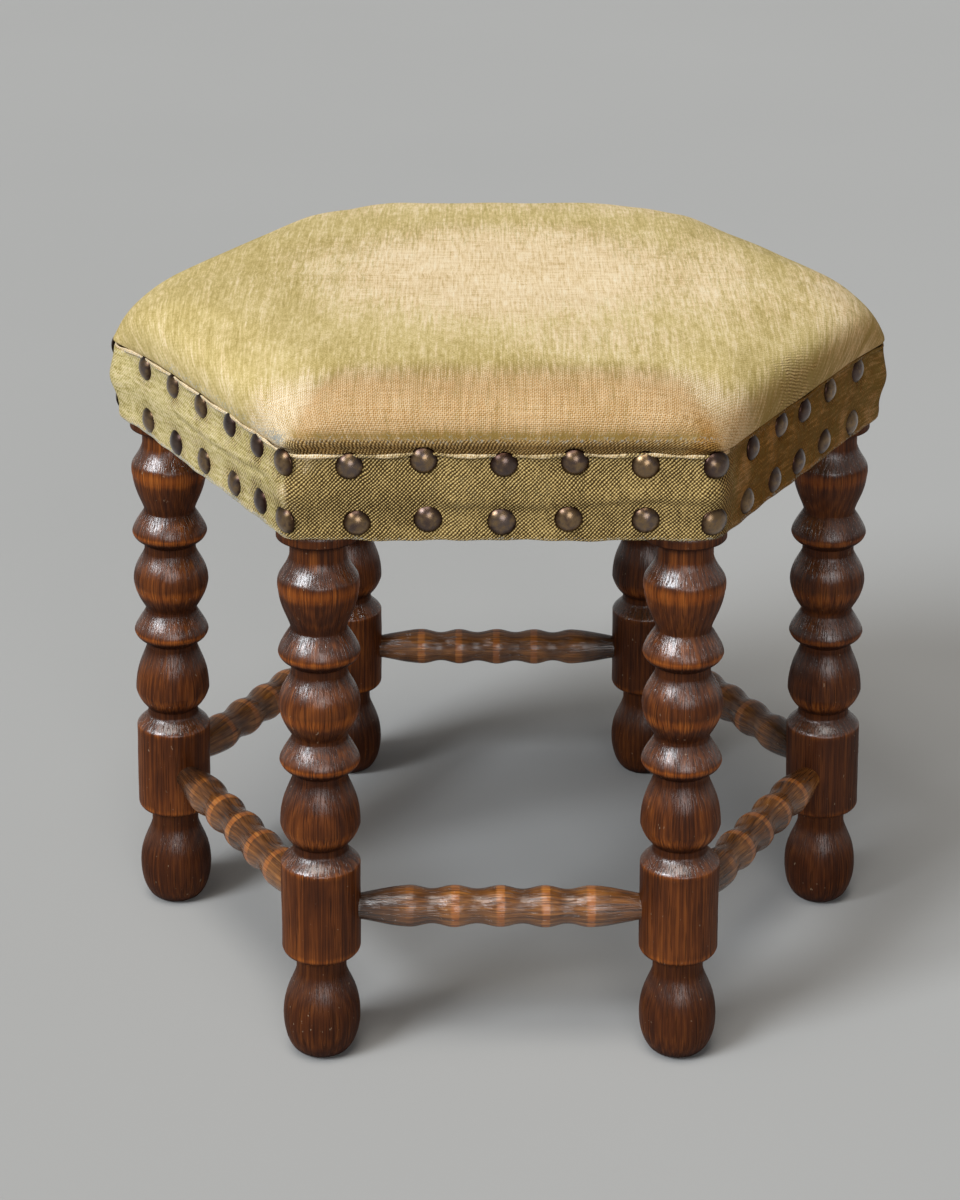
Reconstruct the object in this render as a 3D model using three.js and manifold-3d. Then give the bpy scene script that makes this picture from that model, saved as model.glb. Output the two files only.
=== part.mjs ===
// Hexagonal upholstered footstool on six turned legs, in millimetres, +Z up.
// The origin is on the floor under the middle of the seat, and the front side faces -Y.

import * as THREE from 'three';
import { mergeVertices } from 'three/addons/utils/BufferGeometryUtils.js';
import Module from 'manifold-3d';

const wasm = await Module();
wasm.setup();

// Driving dimensions: plan and stance
const legAxisRadius = 182.9; // middle of the stool to a leg's axis, on the floor
const legSplay = 1.56; // outward lean of a leg towards the floor, in degrees
const seatGap = 0.3; // clearance between pieces that bear on each other
const cutOverrun = 6; // how far a cutter runs past what it cuts

// Driving dimensions: turned legs, from the floor up
const legRadius = 20; // full radius of the turned stock
const legNeckRadius = 13.7; // radius in the coves between the turned shapes
const footNeckRadius = 12.8; // radius in the cove above the foot
const legHeadRadius = 18.7; // radius behind the fabric, turned down to take its thickness
const footContactRadius = 9.8; // flat underside of a foot
const footRadius = 19.7; // widest place of a foot
const footTrim = 0.6; // stock below the floor line, cut off level
const footWidestHeight = 21; // floor to the widest place of a foot
const footTaperHeight = 27; // from there to the cove
const footCoveHeight = 6.2; // straight run of each cove, named after the shape below it
const blockEdgeHeight = 6.6; // rounded lower edge of the block
const blockStraightHeight = 47; // plain round part that takes the stretchers
const blockShoulderHeight = 8.4;
const blockCoveHeight = 2.8;
const eggHeight = 37;
const eggCoveHeight = 2;
const beadHeight = 19.5;
const lowerBeadCoveHeight = 1.5;
const ballHeight = 33.6;
const ballCoveHeight = 3.4;
const upperBeadCoveHeight = 0.8;
const vaseBowlHeight = 19.7; // cove to the straight belt of the vase
const vaseBeltHeight = 5.6;
const vaseShoulderHeight = 12.4;
const vaseCoveHeight = 6.4;
const collarRiseHeight = 3; // sharp flare under the seat
const collarHeight = 5.8; // full-size band of wood that shows under the fabric

// Where a turned shape is widest, as a share of its height, and how its curves bow:
// radial and axial shares of the first control point, then of the second
const footTaperShares = [1, 0.55, 0.1, 0.76];
const blockEdgeShares = [0, 0.55, 0.9, 0.2];
const blockShoulderShares = [1, 0.3, 0.1, 0.62];
const eggWidestShare = 0.3;
const eggLowerShares = [0.1, 0.12, 0.72, 0.35];
const eggUpperShares = [1, 0.55, 0.2, 0.78];
const beadWidestShare = 0.36;
const beadLowerShares = [0.05, 0.3, 0.8, 0.3];
const beadUpperShares = [1, 0.18, 0.12, 0.72];
const ballWidestShare = 0.475;
const ballLowerShares = [0.15, 0.15, 0.9, 0.5];
const ballUpperShares = [1, 0.5, 0.25, 0.72];
const vaseBowlShares = [0.12, 0.22, 0.85, 0.5];
const vaseShoulderShares = [0.88, 0.12, 0.08, 0.62];
const collarShares = [0, 0.5, 1, 0.3];

// Driving dimensions: bobbin-turned stretchers
const stretcherBeadRadius = 10.6;
const stretcherNeckRadius = 8.8;
const stretcherEndRadius = 6.8; // where the end cone meets the leg
const stretcherTenonRadius = 6.4;
const stretcherBeadPitch = 22.8; // middle of one bead to the middle of the next
const stretcherSideBeads = 2; // beads on each side of the middle one
const stretcherTenonStop = 8; // end of a tenon to the leg's axis
const stretcherDrop = 2.1; // a stretcher's axis below the middle of the leg's block
const narrowingShares = [1, 0.4, 0, 0.6]; // from a bead in to a neck
const wideningShares = [0, 0.4, 1, 0.6]; // from a neck out to a bead
const stretcherEndShares = [0.95, 0.3, 0.35, 0.7]; // from the last bead in to the leg

// Driving dimensions: seat frame
const railThickness = 22;
const railHeight = 40.5;
const railCopeReach = 9; // end of a coped shoulder to the leg's axis
const tenonThickness = 8;
const tenonShoulder = 5; // step above and below a rail's tenon
const tenonStop = 7.5; // end of a rail's tenon to the leg's axis
const railSetUp = 0.8; // rail's underside above the lower edge of the band

// Driving dimensions: webbing and hessian
const webThickness = 2;
const webWidth = 50;
const webPitch = 60; // middle of one strip to the middle of the next
const webSettle = 30; // run in which a strip comes level after its last crossing
const webInset = 9; // strip ends, in from the outer face of the rails
const webCount = 3; // strips each way
const hessianThickness = 0.8;
const hessianInset = 2.2; // hessian's edge, in from the outer face of the rails

// Driving dimensions: fabric, stuffing and nails
const coverThickness = 1;
const coverLap = 10; // how far the cover runs down behind the band
const waddingThickness = 2.6;
const bandThickness = 1.4;
const bandHeight = 43;
const bandFold = 1.6; // height of the turned-in edge at the top and bottom of the band
const bandFoldProud = 0.5; // how far a turned-in edge stands out
const bandSwell = 1.1; // soft bulge of the band between the nail rows
const bandSwellHeight = 14;
const bandCornerRound = 13; // rounding of the seat's corners in plan
const grooveHeight = 4.8; // band's top edge to the drawn-in groove of the cover
const grooveDepth = 1.2; // groove in from the face of the band
const crownOverhang = 2; // widest place of the crown beyond the face of the band
const crownTurnHeight = 4.4; // groove to the widest place of the crown
const crownRise = 24.7; // widest place to the top of the crown
const crownSideSquareness = 6.5; // exponents of the crown's section
const crownTopSquareness = 3.2;
const crownRoundPerRise = 3.4; // growth of the corner rounding for each millimetre of rise
const crownFlatShare = 0.97; // largest corner rounding as a share of the outline's half width
const crownCrowding = 1.5; // how closely the crown's rings stand near its widest place
const nailRadius = 6.2;
const nailHeight = 2.7; // dome above the band
const nailSink = 0.6; // rim sunk in the band
const nailsPerSide = 6; // nails on a side, a corner nail counted once
const nailLowerHeight = 9.1; // band's lower edge to the lower row
const nailRowSpacing = 28; // lower row to upper row

// Facets
const legFacets = 12;
const stretcherFacets = 8;
const nailFacets = 6;
const cornerSteps = 4; // facets in a rounded corner of the seat
const crownSteps = 8; // rings in the cover's crown
const paddingSteps = 4; // rings in the crowns of the wadding and the stuffing
const nailSteps = 2; // rings in a nail's dome
const longCurveSteps = 3;
const shortCurveSteps = 2;

// Places that follow from the sizes above
const sides = 6;
const sideAngle = (2 * Math.PI) / sides;
const halfSide = sideAngle / 2;
const lean = THREE.MathUtils.degToRad(legSplay);
const blockBottom = footWidestHeight + footTaperHeight + footCoveHeight;
const blockMiddle = blockBottom + blockEdgeHeight + blockStraightHeight / 2;
const blockTop = blockMiddle + blockStraightHeight / 2 + blockShoulderHeight;
const coveHeights = blockCoveHeight + eggCoveHeight + lowerBeadCoveHeight + ballCoveHeight
  + upperBeadCoveHeight + vaseCoveHeight;
const vaseHeight = vaseBowlHeight + vaseBeltHeight + vaseShoulderHeight;
const turnedHeight = blockTop + eggHeight + beadHeight + ballHeight + beadHeight + vaseHeight
  + coveHeights + collarRiseHeight + collarHeight;
const bandBottom = turnedHeight * Math.cos(lean);
const bandTop = bandBottom + bandHeight;
const railBottom = bandBottom + railSetUp;
const railTop = railBottom + railHeight;
const railMiddle = railBottom + railHeight / 2;
const frameApothem = axisRadiusAt(bandBottom) * Math.cos(halfSide) + legHeadRadius;
const coverInner = frameApothem + seatGap;
const coverOuter = coverInner + coverThickness;
const bandInner = coverOuter + seatGap;
const bandApothem = bandInner + bandThickness;
const stretcherHeight = (blockMiddle - stretcherDrop) * Math.cos(lean);
const webLevel = railTop + seatGap + webThickness / 2;
const webStep = (webThickness + seatGap) / 2;
const hessianBottom = webLevel + webStep + webThickness / 2 + seatGap;
const stuffingBottom = hessianBottom + hessianThickness + seatGap;

// Materials
const materials = {
  wood: new THREE.MeshStandardMaterial({ color: 0x5b2c12, roughness: 0.3, metalness: 0 }),
  stretcherWood: new THREE.MeshStandardMaterial({ color: 0x4a2a16, roughness: 0.35, metalness: 0 }),
  railWood: new THREE.MeshStandardMaterial({ color: 0xb08a58, roughness: 0.7, metalness: 0 }),
  webbing: new THREE.MeshStandardMaterial({ color: 0xa98a5e, roughness: 0.95, metalness: 0 }),
  hessian: new THREE.MeshStandardMaterial({ color: 0x9a7a4c, roughness: 1, metalness: 0 }),
  stuffing: new THREE.MeshStandardMaterial({ color: 0x4a3a2a, roughness: 1, metalness: 0 }),
  wadding: new THREE.MeshStandardMaterial({ color: 0xe6dfcf, roughness: 1, metalness: 0 }),
  velvet: new THREE.MeshStandardMaterial({ color: 0x8f7a35, roughness: 0.9, metalness: 0 }),
  band: new THREE.MeshStandardMaterial({ color: 0x857334, roughness: 0.95, metalness: 0 }),
};

// Distance from the middle of the stool to a leg's axis at a height above the floor
function axisRadiusAt(height) {
  return legAxisRadius - height * Math.tan(lean);
}

// Half the distance between two neighbouring leg axes at a height
function halfSpanAt(height) {
  return axisRadiusAt(height) * Math.sin(halfSide);
}

// Keep only the position of a geometry, merge its vertices and drop collapsed triangles
function closedGeometry(source) {
  const bare = source.clone();
  bare.deleteAttribute('normal');
  bare.deleteAttribute('uv');
  const merged = mergeVertices(bare);
  const corners = merged.index.array;
  const kept = [];
  for (let i = 0; i < corners.length; i += 3) {
    const [a, b, c] = [corners[i], corners[i + 1], corners[i + 2]];
    if (a !== b && b !== c && c !== a) kept.push(a, b, c);
  }
  merged.setIndex(kept);
  return merged;
}

function toSolid(source) {
  const geometry = closedGeometry(source);
  const vertProperties = new Float32Array(geometry.attributes.position.array);
  const triVerts = new Uint32Array(geometry.index.array);
  return new wasm.Manifold(new wasm.Mesh({ numProp: 3, vertProperties, triVerts }));
}

function fromSolid(solid) {
  const { vertProperties, triVerts } = solid.getMesh();
  const geometry = new THREE.BufferGeometry();
  geometry.setAttribute('position', new THREE.BufferAttribute(vertProperties, 3));
  geometry.setIndex(new THREE.BufferAttribute(triVerts, 1));
  return geometry;
}

// Box between two corners
function block(low, high) {
  const size = new THREE.Vector3().subVectors(high, low);
  const middle = new THREE.Vector3().addVectors(low, high).multiplyScalar(0.5);
  return new THREE.BoxGeometry(size.x, size.y, size.z).translate(middle.x, middle.y, middle.z);
}

// Turned solid round the Z axis from an outline of radius and height
function turned(outline, facets) {
  return new THREE.LatheGeometry(outline, facets).rotateX(Math.PI / 2);
}

// Lean a solid turned round Z and stand it where the leg at angle zero stands
function standAsLeg(geometry) {
  return geometry.rotateY(-lean).translate(legAxisRadius, 0, 0);
}

// Add a curve from the outline's last point to a new radius and height
function bow(outline, radius, rise, shares, steps) {
  const from = outline[outline.length - 1];
  const to = new THREE.Vector2(radius, from.y + rise);
  const [firstOut, firstUp, secondOut, secondUp] = shares;
  const outward = radius > from.x;
  const low = outward ? from.x : to.x;
  const span = Math.abs(to.x - from.x);
  const first = new THREE.Vector2(low + span * firstOut, from.y + rise * firstUp);
  const second = new THREE.Vector2(low + span * secondOut, from.y + rise * secondUp);
  const curve = new THREE.CubicBezierCurve(from, first, second, to);
  outline.push(...curve.getPoints(steps).slice(1));
}

function step(outline, radius, rise) {
  const from = outline[outline.length - 1];
  outline.push(new THREE.Vector2(radius, from.y + rise));
}

// A turned shape between two coves: out to the full radius, then back in, and the cove above it
function swell(outline, height, widestShare, lowerShares, upperShares, coveHeight) {
  bow(outline, legRadius, height * widestShare, lowerShares, shortCurveSteps);
  bow(outline, legNeckRadius, height * (1 - widestShare), upperShares, longCurveSteps);
  step(outline, legNeckRadius, coveHeight);
}

function footOutline(outline) {
  step(outline, footContactRadius, 0);
  step(outline, footContactRadius, footTrim);
  const reach = footRadius - footContactRadius;
  const base = new THREE.EllipseCurve(footContactRadius, footWidestHeight, reach, footWidestHeight,
    -Math.PI / 2, 0, false);
  outline.push(...base.getPoints(longCurveSteps + 1).slice(1));
  bow(outline, footNeckRadius, footTaperHeight, footTaperShares, longCurveSteps);
  step(outline, footNeckRadius, footCoveHeight);
}

function blockOutline(outline) {
  bow(outline, legRadius, blockEdgeHeight, blockEdgeShares, longCurveSteps);
  step(outline, legRadius, blockStraightHeight);
  bow(outline, legNeckRadius, blockShoulderHeight, blockShoulderShares, shortCurveSteps);
  step(outline, legNeckRadius, blockCoveHeight);
}

function vaseOutline(outline) {
  bow(outline, legRadius, vaseBowlHeight, vaseBowlShares, longCurveSteps);
  step(outline, legRadius, vaseBeltHeight);
  bow(outline, legNeckRadius, vaseShoulderHeight, vaseShoulderShares, longCurveSteps);
  step(outline, legNeckRadius, vaseCoveHeight);
}

// Whole outline of a leg, from its foot to the top of its head
function legOutline() {
  const outline = [new THREE.Vector2(0, -footTrim)];
  footOutline(outline);
  blockOutline(outline);
  swell(outline, eggHeight, eggWidestShare, eggLowerShares, eggUpperShares, eggCoveHeight);
  swell(outline, beadHeight, beadWidestShare, beadLowerShares, beadUpperShares, lowerBeadCoveHeight);
  swell(outline, ballHeight, ballWidestShare, ballLowerShares, ballUpperShares, ballCoveHeight);
  swell(outline, beadHeight, beadWidestShare, beadLowerShares, beadUpperShares, upperBeadCoveHeight);
  vaseOutline(outline);
  bow(outline, legRadius, collarRiseHeight, collarShares, shortCurveSteps);
  step(outline, legRadius, collarHeight);
  step(outline, legHeadRadius, 0);
  step(outline, legHeadRadius, railTop + cutOverrun - bandBottom);
  step(outline, 0, 0);
  return outline;
}

// Everything above the rails and below the floor is sawn off level
function levelCutters() {
  const reach = legAxisRadius + legRadius + cutOverrun;
  const floor = block(
    new THREE.Vector3(-reach, -reach, -footTrim - cutOverrun),
    new THREE.Vector3(reach, reach, 0),
  );
  const above = block(
    new THREE.Vector3(-reach, -reach, railTop),
    new THREE.Vector3(reach, reach, railTop + cutOverrun * 2),
  );
  return [toSolid(floor), toSolid(above)];
}

// Plain round bar from leg to leg where a stretcher's tenons lie, grown by a clearance
function stretcherBore(grow) {
  const half = halfSpanAt(stretcherHeight) - stretcherTenonStop + grow;
  const radius = stretcherTenonRadius + grow;
  const outline = [
    new THREE.Vector2(0, -half),
    new THREE.Vector2(radius, -half),
    new THREE.Vector2(radius, half),
    new THREE.Vector2(0, half),
  ];
  return placeStretcher(new THREE.LatheGeometry(outline, stretcherFacets));
}

// Bar from leg to leg where a rail's tenons lie, grown by a clearance
function tenonBar(grow) {
  const middle = frameApothem - railThickness / 2;
  const half = halfSpanAt(railMiddle) - tenonStop + grow;
  const across = tenonThickness / 2 + grow;
  return block(
    new THREE.Vector3(middle - across, -half, railBottom + tenonShoulder - grow),
    new THREE.Vector3(middle + across, half, railTop - tenonShoulder + grow),
  );
}

// One leg at angle zero, with two sockets for stretchers and two mortises for rails
function legGeometry() {
  let solid = toSolid(standAsLeg(turned(legOutline(), legFacets)));
  for (const cutter of levelCutters()) solid = solid.subtract(cutter);
  for (const turn of [-halfSide, halfSide]) {
    solid = solid.subtract(toSolid(stretcherBore(seatGap).rotateZ(turn)));
    solid = solid.subtract(toSolid(tenonBar(seatGap).rotateZ(turn)));
  }
  return fromSolid(solid);
}

// Move a solid turned round Y to the line between two lower leg blocks
function placeStretcher(geometry) {
  const apothem = axisRadiusAt(stretcherHeight) * Math.cos(halfSide);
  return geometry.translate(apothem, 0, stretcherHeight);
}

// Half of a stretcher's outline, from the middle bead out to the end of its tenon
function halfStretcherOutline() {
  const half = halfSpanAt(stretcherHeight);
  const outline = [new THREE.Vector2(stretcherBeadRadius, 0)];
  const rise = stretcherBeadPitch / 2;
  for (let i = 0; i < stretcherSideBeads; i += 1) {
    bow(outline, stretcherNeckRadius, rise, narrowingShares, shortCurveSteps);
    bow(outline, stretcherBeadRadius, rise, wideningShares, shortCurveSteps);
  }
  const beadEnd = stretcherBeadPitch * stretcherSideBeads;
  const legFace = half - legRadius - seatGap;
  bow(outline, stretcherEndRadius, legFace - beadEnd, stretcherEndShares, longCurveSteps);
  step(outline, stretcherTenonRadius, 0);
  step(outline, stretcherTenonRadius, half - stretcherTenonStop - legFace);
  step(outline, 0, 0);
  return outline;
}

// One bobbin-turned stretcher on the side that faces +X
function stretcherGeometry() {
  const half = halfStretcherOutline();
  const mirrored = half.slice(1).reverse().map((point) => new THREE.Vector2(point.x, -point.y));
  return placeStretcher(new THREE.LatheGeometry([...mirrored, ...half], stretcherFacets));
}

// One seat rail on the side that faces +X, coped to the leg heads and tenoned into them
function railGeometry() {
  const half = halfSpanAt(railMiddle) - railCopeReach;
  const body = block(
    new THREE.Vector3(frameApothem - railThickness, -half, railBottom),
    new THREE.Vector3(frameApothem, half, railTop),
  );
  const cope = legHeadRadius + seatGap;
  const outline = [
    new THREE.Vector2(0, 0),
    new THREE.Vector2(cope, 0),
    new THREE.Vector2(cope, railTop + cutOverrun * 2),
    new THREE.Vector2(0, railTop + cutOverrun * 2),
  ];
  let solid = toSolid(body);
  for (const turn of [-halfSide, halfSide]) {
    solid = solid.subtract(toSolid(standAsLeg(turned(outline, legFacets)).rotateZ(turn)));
  }
  return fromSolid(solid.add(toSolid(tenonBar(0))));
}

// Points of a rounded hexagon with its corners on +X and every sixth turn from there
function hexRing(apothem, round, height) {
  const ring = [];
  const cornerCentre = (apothem - round) / Math.cos(halfSide);
  for (let side = 0; side < sides; side += 1) {
    const corner = side * sideAngle;
    for (let i = 0; i <= cornerSteps; i += 1) {
      const angle = corner - halfSide + (sideAngle * i) / cornerSteps;
      const x = cornerCentre * Math.cos(corner) + round * Math.cos(angle);
      const y = cornerCentre * Math.sin(corner) + round * Math.sin(angle);
      ring.push(new THREE.Vector3(x, y, height));
    }
  }
  return ring;
}

// Closed skin over a list of rings, where an end ring may be a single point on the axis.
// A loop joins its last ring to its first.
function skin(rings, loop = false) {
  const points = [];
  const faces = [];
  const spans = rings.map((ring) => {
    points.push(...ring);
    return { start: points.length - ring.length, count: ring.length };
  });
  const joins = loop ? spans.length : spans.length - 1;
  for (let i = 0; i < joins; i += 1) joinRings(faces, spans[i], spans[(i + 1) % spans.length]);
  return new THREE.BufferGeometry().setFromPoints(points).setIndex(faces);
}

function joinRings(faces, low, high) {
  const count = Math.max(low.count, high.count);
  for (let i = 0; i < count; i += 1) {
    const j = (i + 1) % count;
    const lowHere = low.start + (i % low.count);
    const lowNext = low.start + (j % low.count);
    const highHere = high.start + (i % high.count);
    const highNext = high.start + (j % high.count);
    if (low.count > 1) faces.push(lowHere, lowNext, highNext);
    if (high.count > 1) faces.push(lowHere, highNext, highHere);
  }
}

function onAxis(height) {
  return [new THREE.Vector3(0, 0, height)];
}

// Flat rounded hexagon between two heights
function plate(apothem, round, bottom, top) {
  return skin([
    onAxis(bottom),
    hexRing(apothem, round, bottom),
    hexRing(apothem, round, top),
    onAxis(top),
  ]);
}

// Rings of the crowned seat, from its widest place to its top, drawn in by an inset
function crownRings(inset, steps) {
  const widest = bandApothem + crownOverhang;
  const turn = bandTop + grooveHeight + crownTurnHeight;
  const thinner = (crownRise - inset) / crownRise;
  const rings = [];
  for (let i = 0; i < steps; i += 1) {
    const angle = (Math.PI / 2) * (i / steps) ** crownCrowding;
    const apothem = widest * Math.cos(angle) ** (2 / crownSideSquareness);
    const lift = crownRise * Math.sin(angle) ** (2 / crownTopSquareness);
    const grown = bandCornerRound + crownRoundPerRise * lift;
    const round = Math.min(grown, apothem * crownFlatShare);
    rings.push(hexRing(apothem - inset, round - inset, turn + lift * thinner));
  }
  rings.push(onAxis(turn + crownRise - inset));
  return rings;
}

// Groove of the seat just above the band, drawn in by an inset
function grooveRing(inset, height = bandTop + grooveHeight) {
  return hexRing(bandApothem - grooveDepth - inset, bandCornerRound - inset, height);
}

// Velvet cover: a thin crowned shell whose margin runs down behind the band
function coverGeometry() {
  const hem = bandTop - coverLap;
  const tuck = bandTop + seatGap;
  const outerRound = bandCornerRound - bandThickness;
  const innerRound = outerRound - coverThickness;
  const inner = [
    hexRing(coverInner, innerRound, hem),
    hexRing(coverInner, innerRound, tuck),
    grooveRing(coverThickness),
    ...crownRings(coverThickness, crownSteps),
  ];
  const outer = [
    hexRing(coverOuter, outerRound, hem),
    hexRing(coverOuter, outerRound, tuck),
    grooveRing(0),
    ...crownRings(0, crownSteps),
  ];
  return skin([...inner.reverse(), ...outer]);
}

// Wadding: a soft shell between the cover and the stuffing
function waddingGeometry() {
  const outerInset = coverThickness + seatGap;
  const innerInset = outerInset + waddingThickness;
  const ringsAt = (inset) => [
    grooveRing(inset, stuffingBottom),
    grooveRing(inset),
    ...crownRings(inset, paddingSteps),
  ];
  return skin([...ringsAt(innerInset).reverse(), ...ringsAt(outerInset)]);
}

// Stuffing: a solid crowned pad on the hessian
function stuffingGeometry() {
  const inset = coverThickness + waddingThickness + seatGap * 2;
  return skin([
    onAxis(stuffingBottom),
    grooveRing(inset, stuffingBottom),
    grooveRing(inset),
    ...crownRings(inset, paddingSteps),
  ]);
}

function hessianGeometry() {
  const apothem = frameApothem - hessianInset;
  return plate(apothem, bandCornerRound, hessianBottom, hessianBottom + hessianThickness);
}

// Heights of a webbing strip along its length: over and under the strips it crosses
function webCourse(startsOver) {
  const half = webWidth / 2;
  const outerCrossing = (webPitch * (webCount - 1)) / 2;
  const settled = outerCrossing + half + webSettle;
  const reach = frameApothem / Math.cos(halfSide) + cutOverrun;
  const course = [[-reach, 0], [-settled, 0]];
  for (let crossing = 0; crossing < webCount; crossing += 1) {
    const middle = crossing * webPitch - outerCrossing;
    const over = crossing % 2 === 0 ? startsOver : !startsOver;
    const level = over ? webStep : -webStep;
    course.push([middle - half, level], [middle + half, level]);
  }
  course.push([settled, 0], [reach, 0]);
  return course;
}

// One webbing strip, cut off over the rails at both ends: along X, or turned to lie along Y
function webGeometry(lane, turnedToY) {
  const evenLane = lane % 2 === 0;
  const course = webCourse(turnedToY ? !evenLane : evenLane);
  const half = webThickness / 2;
  const upper = course.map(([run, level]) => new THREE.Vector2(run, webLevel + level + half));
  const lower = course.map(([run, level]) => new THREE.Vector2(run, webLevel + level - half));
  const shape = new THREE.Shape([...lower, ...upper.reverse()]);
  const strip = new THREE.ExtrudeGeometry(shape, { depth: webWidth, bevelEnabled: false });
  const offset = lane * webPitch - (webPitch * (webCount - 1)) / 2;
  strip.rotateX(Math.PI / 2).translate(0, webWidth / 2 + offset, 0);
  if (turnedToY) strip.rotateZ(Math.PI / 2);
  const field = plate(frameApothem - webInset, bandCornerRound, railBottom, stuffingBottom);
  return fromSolid(toSolid(strip).intersect(toSolid(field)));
}

// Section of the band, from its lower inner edge round its face and back over the top
function bandSection() {
  const face = bandApothem;
  const fold = face + bandFoldProud;
  const middle = bandBottom + nailLowerHeight + nailRowSpacing / 2;
  const swellEnd = bandSwellHeight / 2;
  return [
    [bandInner, bandBottom],
    [face, bandBottom],
    [fold, bandBottom + bandFold / 2],
    [face, bandBottom + bandFold],
    [face, middle - swellEnd],
    [face + bandSwell, middle],
    [face, middle + swellEnd],
    [face, bandTop - bandFold],
    [fold, bandTop - bandFold / 2],
    [face, bandTop],
    [bandInner, bandTop],
  ];
}

// Domed nail head lying on a face that looks along +X, its rim sunk in the fabric
function nailDome() {
  const rise = nailHeight + nailSink;
  const curve = new THREE.EllipseCurve(0, 0, nailRadius, rise, 0, Math.PI / 2, false);
  const outline = [
    new THREE.Vector2(0, 0),
    ...curve.getPoints(nailSteps).slice(0, nailSteps),
    new THREE.Vector2(0, rise),
  ];
  const dome = new THREE.LatheGeometry(outline, nailFacets, Math.PI / nailFacets);
  return dome.rotateZ(-Math.PI / 2).translate(-nailSink, 0, 0);
}

// Places of the nails of one row on the side that faces +X, the corner nail first
function nailPlaces(height) {
  const places = [];
  const sideLength = 2 * bandApothem * Math.tan(halfSide);
  const corner = (bandApothem - bandCornerRound) / Math.cos(halfSide) + bandCornerRound;
  places.push({ out: corner, along: 0, turn: -halfSide, height });
  for (let i = 1; i < nailsPerSide; i += 1) {
    const along = (sideLength * i) / nailsPerSide - sideLength / 2;
    places.push({ out: bandApothem, along, turn: 0, height });
  }
  return places;
}

// Velvet side band in one piece, with both rows of nail heads standing on it
function bandGeometry() {
  const rings = bandSection().map(([apothem, height]) => (
    hexRing(apothem, bandCornerRound + apothem - bandApothem, height)
  ));
  let solid = toSolid(skin(rings, true));
  const lower = bandBottom + nailLowerHeight;
  const places = [...nailPlaces(lower), ...nailPlaces(lower + nailRowSpacing)];
  for (let side = 0; side < sides; side += 1) {
    for (const place of places) {
      const dome = nailDome().translate(place.out, place.along, place.height);
      dome.rotateZ(place.turn + halfSide + side * sideAngle);
      solid = solid.add(toSolid(dome));
    }
  }
  return fromSolid(solid);
}

const stool = new THREE.Group();

function add(name, geometry, material, turn = 0) {
  const mesh = new THREE.Mesh(geometry, material);
  mesh.name = name;
  mesh.rotation.z = turn;
  mesh.geometry.computeVertexNormals();
  stool.add(mesh);
}

// Legs, named by where they stand, anticlockwise from +X
const legNames = ['right', 'back_right', 'back_left', 'left', 'front_left', 'front_right'];
const leg = legGeometry();
legNames.forEach((name, i) => add(`leg_${name}`, leg, materials.wood, i * sideAngle));

// Stretchers and rails, named by the side they close, anticlockwise from the back right
const sideNames = ['back_right', 'back', 'back_left', 'front_left', 'front', 'front_right'];
const stretcher = stretcherGeometry();
const rail = railGeometry();
sideNames.forEach((name, i) => {
  const turn = halfSide + i * sideAngle;
  add(`stretcher_${name}`, stretcher, materials.stretcherWood, turn);
  add(`seat_rail_${name}`, rail, materials.railWood, turn);
});

// Webbing: strips from side to side, then strips from front to back
const crossNames = ['front', 'middle', 'back'];
const longNames = ['right', 'middle', 'left'];
crossNames.forEach((name, i) => add(`webbing_across_${name}`, webGeometry(i, false), materials.webbing));
longNames.forEach((name, i) => add(`webbing_along_${name}`, webGeometry(i, true), materials.webbing));

add('hessian', hessianGeometry(), materials.hessian);
add('stuffing', stuffingGeometry(), materials.stuffing);
add('wadding', waddingGeometry(), materials.wadding);
add('top_cover', coverGeometry(), materials.velvet);
add('side_band', bandGeometry(), materials.band);

export default stool;
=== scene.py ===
import math

import bpy
import numpy as np
from mathutils import Matrix, Vector, noise


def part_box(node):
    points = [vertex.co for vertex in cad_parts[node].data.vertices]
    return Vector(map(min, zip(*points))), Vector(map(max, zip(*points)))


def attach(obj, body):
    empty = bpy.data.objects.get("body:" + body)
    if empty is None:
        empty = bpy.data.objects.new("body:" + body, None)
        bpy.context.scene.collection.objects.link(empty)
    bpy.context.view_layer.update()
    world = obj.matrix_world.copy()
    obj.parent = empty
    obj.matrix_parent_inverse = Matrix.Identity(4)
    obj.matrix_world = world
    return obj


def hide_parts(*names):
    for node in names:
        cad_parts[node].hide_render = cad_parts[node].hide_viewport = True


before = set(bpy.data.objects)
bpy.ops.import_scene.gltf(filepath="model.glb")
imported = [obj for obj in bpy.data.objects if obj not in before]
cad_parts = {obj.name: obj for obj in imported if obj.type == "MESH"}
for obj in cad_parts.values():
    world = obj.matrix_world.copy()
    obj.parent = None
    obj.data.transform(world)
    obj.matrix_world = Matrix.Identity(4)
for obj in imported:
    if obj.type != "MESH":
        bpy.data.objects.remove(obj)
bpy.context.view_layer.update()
print("frame loaded:", len(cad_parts), "nodes")

mm = 0.001
sideAngle = math.pi / 3  # the seat has six sides
halfSide = sideAngle / 2


# Shader helpers

def newFinish(name, roughness, sheen=0.0):
    material = bpy.data.materials.new(name)
    material.use_nodes = True
    shader = material.node_tree.nodes["Principled BSDF"]
    shader.inputs["Roughness"].default_value = roughness
    shader.inputs["Sheen Weight"].default_value = sheen
    return material, material.node_tree, shader


def put(tree, kind, wires, **settings):
    node = tree.nodes.new(kind)
    for key, value in settings.items():
        setattr(node, key, value)
    for key, value in wires.items():
        if isinstance(value, bpy.types.NodeSocket):
            tree.links.new(value, node.inputs[key])
        else:
            node.inputs[key].default_value = value
    return node


def reading(tree, name, asVector=False):
    node = put(tree, "ShaderNodeAttribute", {}, attribute_name=name)
    return node.outputs["Vector" if asVector else "Fac"]


def sums(tree, how, a, b=0.0, c=0.0):
    return put(tree, "ShaderNodeMath", {0: a, 1: b, 2: c}, operation=how).outputs[0]


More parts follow.
